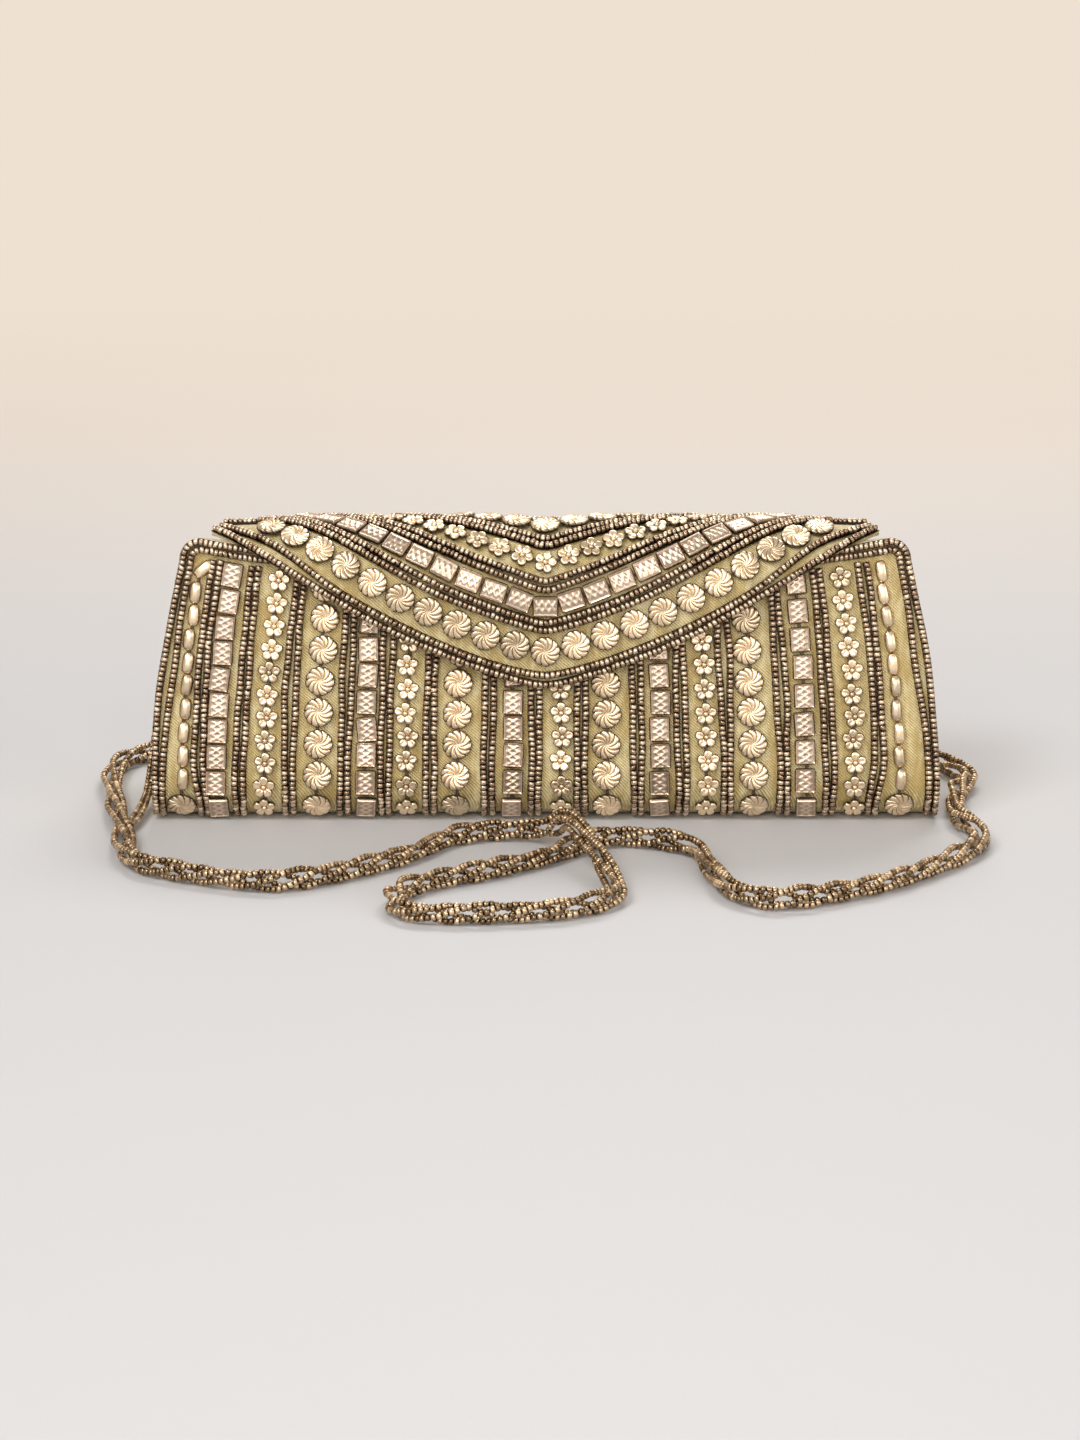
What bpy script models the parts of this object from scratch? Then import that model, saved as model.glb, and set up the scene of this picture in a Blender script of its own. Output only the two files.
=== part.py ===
# Beaded box clutch bag: stiff fabric body, V flap hinged at the back, strung metal ornaments, bead strap.
# Metres, +Z up, +X to the right seen from the front, +Y to the back. Origin under the middle of the bag.

import math

import bmesh
import bpy
import numpy as np

# Driving dimensions of the body
HALF_BASE = 0.1330
TAPER = 0.0105
TAPER_HEIGHT = 0.0980
HALF_DEPTH = 0.0310
EDGE_RADIUS = 0.0140
LEAN = math.radians(10.2)
MOUTH_HEIGHT = 0.0885
CORNER_RISE = 0.0026
BOARD = 0.0030
GAP = 0.0003
INNER_GAP = 0.0006
LINING_SKIN = 0.0008
END_BOARD = 0.0025
END_INSET = 0.0008

# Flap: an arch over the top, then a nearly straight front
RIDGE_BACK = 0.0113
RIDGE_RISE = 0.0100
FRONT_RADIUS = 0.0215
FRONT_LEAN = math.radians(5.4)
HINGE_INSET = 0.0006
HINGE_RISE = 0.0007
FLAP_INSET = 0.0200
FLAP_TIP = 0.0632
TIP_SLOPE = 0.24
TIP_BOW = 0.0332
TIP_SOFT = 0.0050
FLAP_SKIN = 0.0013
FLAP_LINING = 0.0007
ROW_END = 0.0095
ROW_GAP = 0.0007
EDGE_ROW = 0.0013
STRING_STEP = 0.0039
ROW_MARGIN = 0.0005
ROW_NARROWING = 0.78
RIDGE_STRINGS = 0.0068

# Strung ornaments and seed-bead strings
BEAD = 0.0021
STRING_PITCH = 0.0033
DISC = 0.0095
DISC_PITCH = 0.0102
SQUARE_LONG = 0.0078
SQUARE_WIDE = 0.0066
SQUARE_PITCH = 0.0091
FLOWER = 0.0076
FLOWER_PITCH = 0.0081
OVAL_LONG = 0.0070
OVAL_WIDE = 0.0038
OVAL_PITCH = 0.0075
TRIM_DEPTH = 0.0022
THREAD = 0.0009
COLUMN_PLACES = (-0.1220, -0.1102, -0.0940, -0.0768, -0.0606, -0.0464, -0.0295, -0.0112,
                 0.0050, 0.0208, 0.0387, 0.0539, 0.0698, 0.0877, 0.1039, 0.1186)
EDGE_STRINGS_INSET = 0.0025
COLUMN_REFERENCE = 0.0350
COLUMN_START = 0.0092
UNDER_FLAP = 0.0100
FLAT_LIFT = 0.0004
STRING_LIFT = 0.0006
ROW_LIFT = {"disc": 0.0006, "square": 0.0005, "flower": 0.0004}

# Closure and strap
MAGNET_RADIUS = 0.0060
MAGNET_THICKNESS = 0.0012
TAB = (0.0190, 0.0074, 0.0100)
TAB_INSET = 0.0172
TAB_DROP = 0.01575
STRAP_RADIUS = 0.0036
STRAND_RADIUS = 0.0017

# The ornaments stand out at the front only, so the bag is moved back to be centred on the origin
CENTRE_SHIFT = 0.00135

COLOURS = {
    "satin": ((0.50, 0.43, 0.19), 0.45, 0.0),
    "lining": ((0.22, 0.14, 0.08), 0.80, 0.0),
    "piping": ((0.72, 0.64, 0.46), 0.70, 0.0),
    "gold": ((0.75, 0.58, 0.33), 0.32, 1.0),
    "rose_gold": ((0.78, 0.56, 0.40), 0.34, 1.0),
    "seed": ((0.35, 0.24, 0.15), 0.30, 1.0),
    "strap": ((0.33, 0.23, 0.11), 0.34, 1.0),
    "steel": ((0.45, 0.45, 0.45), 0.35, 1.0),
}


def clear_scene():
    for item in list(bpy.data.objects):
        bpy.data.objects.remove(item, do_unlink=True)


def new_collection(name):
    group = bpy.data.collections.new(name)
    bpy.context.scene.collection.children.link(group)
    return group


def material(name, look):
    colour, rough, metal = COLOURS[look]
    mat = bpy.data.materials.new(name)
    mat.use_nodes = True
    shader = mat.node_tree.nodes["Principled BSDF"]
    shader.inputs["Base Color"].default_value = (*colour, 1.0)
    shader.inputs["Roughness"].default_value = rough
    shader.inputs["Metallic"].default_value = metal
    mat.diffuse_color = (*colour, 1.0)
    return mat


def add_mesh(group, name, look, verts, faces):
    mesh = bpy.data.meshes.new(name)
    mesh.from_pydata([tuple(v) for v in verts], [], faces)
    bm = bmesh.new()
    bm.from_mesh(mesh)
    bmesh.ops.recalc_face_normals(bm, faces=bm.faces)
    bm.to_mesh(mesh)
    bm.free()
    obj = bpy.data.objects.new(name, mesh)
    group.objects.link(obj)
    mesh.materials.append(material(name, look))
    mesh.shade_smooth()
    return obj


def half_width(z):
    return HALF_BASE - TAPER * (max(z, 0.0) / TAPER_HEIGHT) ** 2


ARC = math.pi / 2 + LEAN
ARC_LENGTH = EDGE_RADIUS * ARC
LINE_START_Z = EDGE_RADIUS * (1 + math.sin(LEAN))
MOUTH_LENGTH = ARC_LENGTH + (MOUTH_HEIGHT - LINE_START_Z) / math.cos(LEAN)
MOUTH_Y = EDGE_RADIUS * (1 - math.cos(LEAN)) - HALF_DEPTH + (MOUTH_HEIGHT - LINE_START_Z) * math.tan(LEAN)


def wall(s, out):
    """Depth and height of a point on the front wall, s along it from the flat base, out off its face."""
    centre = -(HALF_DEPTH - EDGE_RADIUS)
    turn = min(max(s, 0.0) / EDGE_RADIUS, ARC)
    ny = -math.sin(turn)
    nz = -math.cos(turn)
    run = max(s - ARC_LENGTH, 0.0)
    y = centre + (EDGE_RADIUS + out) * ny + run * math.sin(LEAN)
    z = EDGE_RADIUS + (EDGE_RADIUS + out) * nz + run * math.cos(LEAN)
    return y, z


RIDGE_Y = MOUTH_Y + RIDGE_BACK
RIDGE_Z = MOUTH_HEIGHT + RIDGE_RISE
HINGE_Y = -MOUTH_Y - HINGE_INSET
HINGE_Z = MOUTH_HEIGHT + HINGE_RISE
FLAP_HALF = HALF_BASE - FLAP_INSET
BACK_HALF_TURN = math.atan2(RIDGE_Z - HINGE_Z, HINGE_Y - RIDGE_Y)
BACK_TURN = 2 * BACK_HALF_TURN
BACK_RADIUS = (HINGE_Y - RIDGE_Y) / math.sin(BACK_TURN)
BACK_LENGTH = BACK_RADIUS * BACK_TURN
FRONT_TURN = math.pi / 2 - FRONT_LEAN
FRONT_ARC = FRONT_RADIUS * FRONT_TURN


def flap_at(x, s, out):
    """Point over the flap, s along it from the ridge, positive to the front, out off its face."""
    if s < 0:
        turn = -s / BACK_RADIUS
        y = RIDGE_Y + (BACK_RADIUS + out) * math.sin(turn)
        z = RIDGE_Z - BACK_RADIUS + (BACK_RADIUS + out) * math.cos(turn)
        return (x, y, z)
    turn = min(s / FRONT_RADIUS, FRONT_TURN)
    run = max(s - FRONT_ARC, 0.0)
    y = RIDGE_Y - (FRONT_RADIUS + out) * math.sin(turn) - run * math.sin(FRONT_LEAN)
    z = RIDGE_Z - FRONT_RADIUS + (FRONT_RADIUS + out) * math.cos(turn) - run * math.cos(FRONT_LEAN)
    return (x, y, z)


def edge_line(x):
    soft = math.hypot(x, TIP_SOFT) - TIP_SOFT
    return FLAP_TIP - TIP_SLOPE * soft - TIP_BOW * (x / FLAP_HALF) ** 2


def edge_slope(x):
    return TIP_SLOPE * abs(x) / math.hypot(x, TIP_SOFT) + 2 * TIP_BOW * abs(x) / FLAP_HALF ** 2


def row_line(x, inward):
    return edge_line(x) - inward * math.hypot(1.0, edge_slope(x))


def flap_edge_height(x):
    return flap_at(x, max(edge_line(x), 0.0), 0.0)[2]


def loft(rings):
    """Faces over a list of rings of equal count, with n-gon ends."""
    count = len(rings[0])
    verts = [p for ring in rings for p in ring]
    faces = []
    for i in range(len(rings) - 1):
        for j in range(count):
            k = (j + 1) % count
            faces.append((i * count + j, i * count + k, (i + 1) * count + k, (i + 1) * count + j))
    last = (len(rings) - 1) * count
    faces.append(tuple(range(count)))
    faces.append(tuple(last + j for j in range(count)))
    return verts, faces


def slab(outer, inner):
    """Closed plate between two grids of points of the same size."""
    rows = len(outer)
    cols = len(outer[0])
    verts = [p for row in outer for p in row] + [p for row in inner for p in row]
    half = rows * cols
    faces = []
    for i in range(rows - 1):
        for j in range(cols - 1):
            a = i * cols + j
            faces.append((a, a + 1, a + cols + 1, a + cols))
            faces.append((half + a, half + a + cols, half + a + cols + 1, half + a + 1))
    rim = [j for j in range(cols)]
    rim += [i * cols + cols - 1 for i in range(1, rows)]
    rim += [(rows - 1) * cols + j for j in range(cols - 2, -1, -1)]
    rim += [i * cols for i in range(rows - 2, 0, -1)]
    for a, b in zip(rim, rim[1:] + rim[:1]):
        faces.append((a, half + a, half + b, b))
    return verts, faces


def wall_levels(top):
    arc = [ARC_LENGTH * k / 5 for k in range(6)]
    line = [ARC_LENGTH + (top - ARC_LENGTH) * k / 3 for k in (1, 2, 3)]
    return arc + line


def wall_point(u, s, out, side=1):
    y, z = wall(s, out)
    return (u * half_width(z), y * side, z)


def front_panel(group, cutters):
    across = [-1, -0.92, -0.78, -0.5, 0.5, 0.78, 0.92, 1]

    def grid(out):
        rows = []
        for k in range(9):
            rows.append([])
            for u in across:
                top = MOUTH_LENGTH + CORNER_RISE * abs(u) ** 5
                rows[-1].append(wall_point(u, wall_levels(top)[k], out))
        return rows
    obj = add_mesh(group, "front_panel", "satin", *slab(grid(0.0), grid(-BOARD)))
    pocket(obj, cutters, "front_magnet_pocket", *front_magnet_place())
    return obj


def front_magnet_place():
    """Centre of the pocket's mouth on the inner face, and the turn about X of its axis."""
    y, z = wall(MOUTH_LENGTH - 0.034, -BOARD)
    return (0.0, y, z), math.pi / 2 - LEAN


def pocket(obj, cutters, name, place, turn):
    bpy.ops.mesh.primitive_cylinder_add(vertices=20, radius=MAGNET_RADIUS + GAP,
                                        depth=2 * (MAGNET_THICKNESS + 2 * GAP), location=place)
    cutter = bpy.context.object
    cutter.name = name
    cutter.rotation_euler = (turn, 0.0, 0.0)
    for owner in list(cutter.users_collection):
        owner.objects.unlink(cutter)
    cutters.objects.link(cutter)
    cutter.hide_render = True
    cutter.display_type = "WIRE"
    cut = obj.modifiers.new(name, "BOOLEAN")
    cut.operation = "DIFFERENCE"
    cut.solver = "EXACT"
    cut.object = cutter


def magnet(group, name, place, turn, offset):
    """Flat disc magnet, its face just under the pocket's mouth."""
    ny = -math.sin(turn)
    nz = math.cos(turn)
    back = offset * (MAGNET_THICKNESS / 2 + GAP)
    spot = (place[0], place[1] + ny * back, place[2] + nz * back)
    bpy.ops.mesh.primitive_cylinder_add(vertices=20, radius=MAGNET_RADIUS,
                                        depth=MAGNET_THICKNESS, location=spot)
    obj = bpy.context.object
    obj.name = name
    obj.rotation_euler = (turn, 0.0, 0.0)
    for owner in list(obj.users_collection):
        owner.objects.unlink(obj)
    group.objects.link(obj)
    obj.data.materials.append(material(name, "steel"))
    return obj


def back_panel(group):
    across = [-1, -0.5, 0.5, 1]

    def grid(out):
        return [[wall_point(u, s, out, -1) for u in across] for s in wall_levels(MOUTH_LENGTH)]
    return add_mesh(group, "back_panel", "satin", *slab(grid(0.0), grid(-BOARD)))


def base_panel(group):
    reach = HALF_DEPTH - EDGE_RADIUS - GAP
    wide = HALF_BASE - 0.0004
    bpy.ops.mesh.primitive_cube_add(size=1.0, location=(0, 0, BOARD / 2))
    obj = bpy.context.object
    obj.name = "base_panel"
    obj.scale = (2 * wide, 2 * reach, BOARD)
    for owner in list(obj.users_collection):
        owner.objects.unlink(obj)
    group.objects.link(obj)
    obj.data.materials.append(material("base_panel", "satin"))
    return obj


def inner_depth(z, extra):
    """Half depth of the space between the panels at height z, less a clearance."""
    centre = HALF_DEPTH - EDGE_RADIUS
    inner = EDGE_RADIUS - BOARD
    if z < EDGE_RADIUS + inner * math.sin(LEAN):
        drop = EDGE_RADIUS - z
        return centre + math.sqrt(max(inner * inner - drop * drop, 0.0)) - extra
    y, level = wall(ARC_LENGTH, -BOARD)
    return -y - (z - level) * math.tan(LEAN) - extra


INSIDE_LEVELS = (0.0040, 0.0062, 0.0095, 0.0145, 0.0500)


def end_panel(group, name, side):
    top = MOUTH_HEIGHT - 0.0010
    rings = []
    for z in INSIDE_LEVELS + (top,):
        deep = inner_depth(z, INNER_GAP)
        x1 = half_width(z) - END_INSET
        x0 = x1 - END_BOARD
        rings.append([(side * x0, -deep, z), (side * x1, -deep, z), (side * x1, deep, z), (side * x0, deep, z)])
    return add_mesh(group, name, "satin", *loft(rings))


def lining_ring(z, inset):
    deep = inner_depth(z, INNER_GAP + inset)
    wide = half_width(z) - END_INSET - END_BOARD - INNER_GAP - inset
    cut = 0.0020
    ring = []
    for sx, sy in ((1, 1), (-1, 1), (-1, -1), (1, -1)):
        a = (sx * wide, sy * (deep - cut), z)
        b = (sx * (wide - cut), sy * deep, z)
        ring += [a, b] if sx * sy > 0 else [b, a]
    return ring


def lining(group):
    top = MOUTH_HEIGHT - 0.0014
    levels = INSIDE_LEVELS + (top,)
    rings = [lining_ring(z, 0.0) for z in levels]
    rings += [lining_ring(z, LINING_SKIN) for z in reversed(levels[1:])]
    floor = lining_ring(INSIDE_LEVELS[0] + LINING_SKIN, LINING_SKIN + 0.0004)
    rings.append(floor)
    return add_mesh(group, "lining", "lining", *loft(rings))


def piping(group):
    """Cord of plain cloth along both end panels and the front panel's upper edge."""
    points = []
    z = MOUTH_HEIGHT + 0.0006
    x = half_width(z) - END_INSET - END_BOARD / 2
    for y, rise in ((0.0115, 0.0003), (0.0040, 0.0003), (-0.0040, 0.0006), (-0.0100, 0.0018)):
        points.append((x, y, MOUTH_HEIGHT + rise))
    for u in (0.975, 0.92, 0.78, 0.5, 0.0):
        s = MOUTH_LENGTH + CORNER_RISE * u ** 5 + 0.0015
        y, level = wall(s, -BOARD / 2)
        points.append((u * half_width(level), y, level))
    points += [(-px, py, pz) for px, py, pz in reversed(points[:-1])]
    return tube(group, "mouth_piping", "piping", points, 0.0009, 2)


def tube(group, name, look, points, radius, resolution):
    data = bpy.data.curves.new(name, "CURVE")
    data.dimensions = "3D"
    data.bevel_depth = radius
    data.bevel_resolution = resolution
    data.use_fill_caps = True
    line = data.splines.new("POLY")
    line.points.add(len(points) - 1)
    for spot, p in zip(line.points, points):
        spot.co = (*p, 1.0)
    obj = bpy.data.objects.new(name, data)
    group.objects.link(obj)
    data.materials.append(material(name, look))
    return obj


def flap_shares():
    """Shares of the way from the hinge to the edge at which the flap's plates have points."""
    return [k / 10 for k in range(11)]


def flap_columns(limit):
    share = [-1, -0.97, -0.9, -0.8, -0.66, -0.5, -0.36, -0.22, -0.1, 0]
    share += [-v for v in reversed(share[:-1])]
    return [v * limit for v in share]


def flap_plate(group, name, look, first, last, trim, out, thickness):
    """Plate over or under the flap between two shares of its length, trimmed at its two sides."""
    columns = flap_columns(FLAP_HALF)[trim:len(flap_columns(FLAP_HALF)) - trim]
    start = -BACK_LENGTH + 0.0003

    def grid(level):
        rows = []
        for k in flap_shares()[first:last]:
            rows.append([flap_at(x, start + (edge_line(x) - start) * k, level) for x in columns])
        return rows
    return add_mesh(group, name, look, *slab(grid(out), grid(out - thickness)))


def flap_shell(group):
    obj = flap_plate(group, "flap_shell", "satin", 0, 11, 0, 0.0, FLAP_SKIN)
    return obj


def flap_lining(group):
    out = -FLAP_SKIN - GAP
    return flap_plate(group, "flap_lining", "lining", 1, 10, 1, out, FLAP_LINING)


def flap_magnet(group):
    """Flat magnet sewn to the flap's lining, over the one in the front panel."""
    s = FRONT_ARC + 0.0130
    out = -FLAP_SKIN - 3 * GAP - FLAP_LINING - MAGNET_THICKNESS / 2
    bpy.ops.mesh.primitive_cylinder_add(vertices=20, radius=MAGNET_RADIUS, depth=MAGNET_THICKNESS,
                                        location=flap_at(0.0, s, out))
    obj = bpy.context.object
    obj.name = "flap_magnet"
    obj.rotation_euler = (math.pi / 2 - FRONT_LEAN, 0.0, 0.0)
    for owner in list(obj.users_collection):
        owner.objects.unlink(obj)
    group.objects.link(obj)
    obj.data.materials.append(material("flap_magnet", "steel"))
    return obj


def piece_stations(kind, centre):
    """Stations of one ornament along its string: place, half width."""
    if kind == "disc":
        r = DISC / 2
        return [(centre - r, 0.36 * r), (centre - 0.45 * r, r), (centre + 0.45 * r, r), (centre + r, 0.36 * r)]
    if kind == "flower":
        r = FLOWER / 2
        return [(centre - r, 0.40 * r), (centre - 0.42 * r, r), (centre + 0.42 * r, r), (centre + r, 0.40 * r)]
    if kind == "square":
        r = SQUARE_LONG / 2
        w = SQUARE_WIDE / 2
        step = 0.0001
        return [(centre - r - step, THREAD), (centre - r, w), (centre + r, w), (centre + r + step, THREAD)]
    r = OVAL_LONG / 2
    w = OVAL_WIDE / 2
    return [(centre - r, 0.4 * w), (centre - 0.5 * r, w), (centre + 0.5 * r, w), (centre + r, 0.4 * w)]


PITCH = {"disc": DISC_PITCH, "square": SQUARE_PITCH, "flower": FLOWER_PITCH, "oval": OVAL_PITCH}
LONG = {"disc": DISC, "square": SQUARE_LONG, "flower": FLOWER, "oval": OVAL_LONG}
LOOK = {"disc": "gold", "square": "rose_gold", "flower": "gold", "oval": "gold"}


def sweep_strip(group, name, look, stations, place, bend=0.0, lift=0.0):
    """Closed strip of flat-backed ornaments: place gives a point for s, sideways and out.
    Up to s = bend the strip is lifted, as a flat piece stands off a rounded face."""
    rings = []
    for s, half in stations:
        top = half * 0.84
        low = GAP + (lift if s < bend else 0.0)
        high = low + TRIM_DEPTH if half > THREAD * 1.2 else low + 0.0014
        ring = [place(s, -half, low), place(s, half, low), place(s, top, high), place(s, -top, high)]
        rings.append(ring)
    return add_mesh(group, name, look, *loft(rings))


KINDS = ("oval", "square", "flower", "disc", "square", "flower", "disc", "square",
         "flower", "disc", "square", "flower", "disc", "square", "flower", "oval")


def column_x(index):
    return COLUMN_PLACES[index]


def column_place(x_ref):
    def place(s, side, out):
        y, z = wall(s, out)
        fan = half_width(z) / half_width(COLUMN_REFERENCE)
        return (x_ref * fan + side, y, z)
    return place


def ornament_column(group, index):
    """One upright string of ornaments, going on as a plain string under the flap."""
    kind = KINDS[index]
    x_ref = column_x(index)
    stations = []
    s = COLUMN_START + LONG[kind] / 2
    if kind == "oval":
        stations += piece_stations("disc", COLUMN_START + DISC / 2)
        s = COLUMN_START + DISC + OVAL_LONG / 2 + 0.0004
    end = MOUTH_LENGTH - 0.0072
    cover = flap_edge_height(x_ref) + UNDER_FLAP
    while s + LONG[kind] / 2 < end and wall(s, 0.0)[1] < cover:
        stations += piece_stations(kind, s)
        s += PITCH[kind]
    if stations[-1][0] < end - 0.004:
        stations.append((stations[-1][0] + 0.0004, THREAD))
        stations.append((end, THREAD))
    name = "column_{:02d}_{}".format(index + 1, kind)
    bend = ARC_LENGTH + LONG[kind]
    lift = FLAT_LIFT if kind == "square" else 0.0
    return sweep_strip(group, name, LOOK[kind], stations, column_place(x_ref), bend, lift)


def pair_strip(group, name, stations, place, spacing, low=GAP):
    """Two seed-bead strings side by side as one ridged strip."""
    rings = []
    half = spacing / 2 + BEAD / 2
    for s in stations:
        ring = [place(s, -half, low), place(s, half, low), place(s, half * 0.85, low + BEAD * 0.8)]
        ring += [place(s, 0.0, low + BEAD * 0.35), place(s, -half * 0.85, low + BEAD * 0.8)]
        rings.append(ring)
    return add_mesh(group, name, "seed", *loft(rings))


def single_strip(group, name, stations, place, low=GAP):
    rings = []
    half = BEAD / 2
    for s in stations:
        ring = [place(s, -half, low), place(s, half, low)]
        ring += [place(s, half * 0.6, low + BEAD), place(s, -half * 0.6, low + BEAD)]
        rings.append(ring)
    return add_mesh(group, name, "seed", *loft(rings))


def string_levels(start=COLUMN_START):
    end = MOUTH_LENGTH - 0.0072
    low = [start, start + 0.005, start + 0.010]
    return [s for s in low if s < ARC_LENGTH - 0.001] + [max(start, ARC_LENGTH), 0.5 * (ARC_LENGTH + end), end]


def seed_pair(group, index):
    x_ref = (column_x(index) + column_x(index + 1)) / 2
    shift = {"disc": 0.0008, "square": -0.0004, "flower": 0.0, "oval": -0.0010}
    x_ref += shift[KINDS[index]] - shift[KINDS[index + 1]]
    name = "seed_pair_{:02d}".format(index + 1)
    beside_oval = "oval" in (KINDS[index], KINDS[index + 1])
    start = COLUMN_START + DISC + ROW_GAP if beside_oval else COLUMN_START
    return pair_strip(group, name, string_levels(start), column_place(x_ref), STRING_PITCH * 0.85)


def edge_strings(group, name, side):
    x_ref = side * (half_width(COLUMN_REFERENCE) - EDGE_STRINGS_INSET)
    return pair_strip(group, name, string_levels(), column_place(x_ref), STRING_PITCH * 0.8)


def mouth_strings(group):
    """Two level seed-bead strings along the front panel's upper edge."""
    def place(u, side, out):
        s = MOUTH_LENGTH + CORNER_RISE * abs(u) ** 5 - 0.0031 + side
        y, z = wall(s, out)
        return (u * half_width(z), y, z)
    share = [-0.97, -0.92, -0.78, -0.5, 0.5, 0.78, 0.92, 0.97]
    return pair_strip(group, "mouth_strings", share, place, STRING_PITCH * 0.85)


def row_path(inward, back):
    """Points of one V row from left to right in the flap's own x and s, in even small steps."""
    limit = FLAP_HALF - ROW_MARGIN - ROW_NARROWING * inward
    xs = np.linspace(-limit, limit, 1201)
    ss = np.array([row_line(x, inward) for x in xs])
    keep = ss > -back
    xs = xs[keep]
    ss = ss[keep]
    run = np.concatenate([[0.0], np.cumsum(np.hypot(np.diff(xs), np.diff(ss)))])
    return xs, ss, run


def row_place(path):
    xs, ss, run = path

    def place(t, side, out):
        x = float(np.interp(t, run, xs))
        s = float(np.interp(t, run, ss))
        dx = float(np.interp(t + 0.001, run, xs)) - float(np.interp(t - 0.001, run, xs))
        ds = float(np.interp(t + 0.001, run, ss)) - float(np.interp(t - 0.001, run, ss))
        size = math.hypot(dx, ds)
        return flap_at(x - side * ds / size, s + side * dx / size, out)
    return place


def flap_row(group, name, kind, inward):
    path = row_path(inward, ROW_END)
    total = path[2][-1]
    count = int((total - LONG[kind]) / PITCH[kind]) + 1
    if count % 2 == 0:
        count -= 1
    first = total / 2 - (count - 1) / 2 * PITCH[kind]
    stations = []
    for k in range(count):
        stations += piece_stations(kind, first + k * PITCH[kind])
    return sweep_strip(group, name, LOOK[kind], stations, row_place(path), total, ROW_LIFT[kind])


def flap_pair(group, name, inward, spacing, steps):
    path = row_path(inward, ROW_END)
    total = path[2][-1]
    stations = [total * (0.5 + 0.5 * v) for v in v_shares(steps)]
    return pair_strip(group, name, stations, row_place(path), spacing, STRING_LIFT)


def v_shares(steps):
    """Shares from -1 to 1, closer together at the tip."""
    half = [(k / steps) ** 1.1 for k in range(1, steps + 1)]
    return [-v for v in reversed(half)] + [0.0] + half


def flap_single(group, name, inward, steps):
    path = row_path(inward, ROW_END)
    total = path[2][-1]
    stations = [total * (0.5 + 0.5 * v) for v in v_shares(steps)]
    return single_strip(group, name, stations, row_place(path), STRING_LIFT)


def flap_rows(group):
    """Strings and ornament rows from the flap's edge inwards, each a gap from the one before."""
    pair = STRING_PITCH / 2 + BEAD / 2
    small_pair = 0.9 * STRING_PITCH / 2 + BEAD / 2
    second = EDGE_ROW + STRING_STEP
    discs = second + BEAD / 2 + ROW_GAP + DISC / 2
    outer = discs + DISC / 2 + ROW_GAP + pair
    squares = outer + pair + ROW_GAP + SQUARE_WIDE / 2
    middle = squares + SQUARE_WIDE / 2 + ROW_GAP + pair
    flowers = middle + pair + ROW_GAP + FLOWER / 2
    inner = flowers + FLOWER / 2 + ROW_GAP + small_pair
    top = inner + small_pair + ROW_GAP + DISC / 2
    flap_single(group, "flap_edge_string", EDGE_ROW, 16)
    flap_single(group, "flap_second_string", second, 15)
    flap_row(group, "flap_disc_row", "disc", discs)
    flap_pair(group, "flap_pair_outer", outer, STRING_PITCH, 12)
    flap_row(group, "flap_square_row", "square", squares)
    flap_pair(group, "flap_pair_middle", middle, STRING_PITCH, 10)
    flap_row(group, "flap_flower_row", "flower", flowers)
    flap_pair(group, "flap_pair_inner", inner, 0.9 * STRING_PITCH, 7)
    flap_row(group, "flap_top_discs", "disc", top)


def ridge_strings(group):
    """Level pair of seed-bead strings behind the ridge that closes the rows."""
    def place(x, side, out):
        return flap_at(x, -ROW_END - RIDGE_STRINGS + side, out)
    reach = FLAP_HALF - 2 * EDGE_ROW
    return pair_strip(group, "flap_ridge_strings", [-reach, reach], place, STRING_PITCH * 0.85)


STRAP_ROUTE = ((0.1130, 0.0254, 0.0683), (0.1132, 0.0276, 0.0565), (0.1205, 0.0338, 0.0280),
               (0.1265, 0.0392, 0.0140), (0.1345, 0.0440, 0.0060), (0.1430, 0.0440, 0.0038),
               (0.1500, 0.0360, 0.0037), (0.1525, 0.0180, 0.0037), (0.1480, -0.0150, 0.0037),
               (0.1405, -0.0530, 0.0037), (0.1360, -0.0780, 0.0037), (0.1240, -0.0930, 0.0037),
               (0.0850, -0.1070, 0.0037), (0.0480, -0.0820, 0.0037), (0.0310, -0.0590, 0.0037),
               (0.0140, -0.0520, 0.0037), (-0.0010, -0.0570, 0.0060), (-0.0090, -0.0700, 0.0118),
               (-0.0220, -0.1130, 0.0037), (-0.0170, -0.1270, 0.0037), (0.0000, -0.1370, 0.0037),
               (0.0390, -0.1390, 0.0037), (0.0470, -0.1240, 0.0037), (0.0390, -0.1090, 0.0037),
               (0.0040, -0.0850, 0.0037), (-0.0200, -0.0600, 0.0037), (-0.0470, -0.0690, 0.0037),
               (-0.0530, -0.0950, 0.0037), (-0.0600, -0.1180, 0.0037), (-0.0760, -0.1250, 0.0037),
               (-0.1120, -0.1040, 0.0037), (-0.1430, -0.0640, 0.0037), (-0.1390, -0.0330, 0.0037),
               (-0.1430, -0.0040, 0.0037), (-0.1485, 0.0150, 0.0037), (-0.1370, 0.0385, 0.0045),
               (-0.1280, 0.0400, 0.0120), (-0.1205, 0.0345, 0.0270), (-0.1132, 0.0276, 0.0565),
               (-0.1130, 0.0254, 0.0683))


def smooth_route(route, count):
    """Points at even steps on a smooth curve through the route; x is mirrored so the first end is left."""
    pts = np.array(route) * np.array([-1.0, 1.0, 1.0])
    ext = np.vstack([2 * pts[0] - pts[1], pts, 2 * pts[-1] - pts[-2]])
    fine = []
    for i in range(len(pts) - 1):
        a, b, c, d = ext[i], ext[i + 1], ext[i + 2], ext[i + 3]
        for k in range(12):
            t = k / 12
            fine.append(0.5 * (2 * b + (c - a) * t + (2 * a - 5 * b + 4 * c - d) * t ** 2
                               + (3 * b - a - 3 * c + d) * t ** 3))
    fine.append(pts[-1])
    fine = np.array(fine)
    run = np.concatenate([[0.0], np.cumsum(np.linalg.norm(np.diff(fine, axis=0), axis=1))])
    even = np.linspace(0.0, run[-1], count)
    return np.stack([np.interp(even, run, fine[:, k]) for k in range(3)], axis=1)


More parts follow.
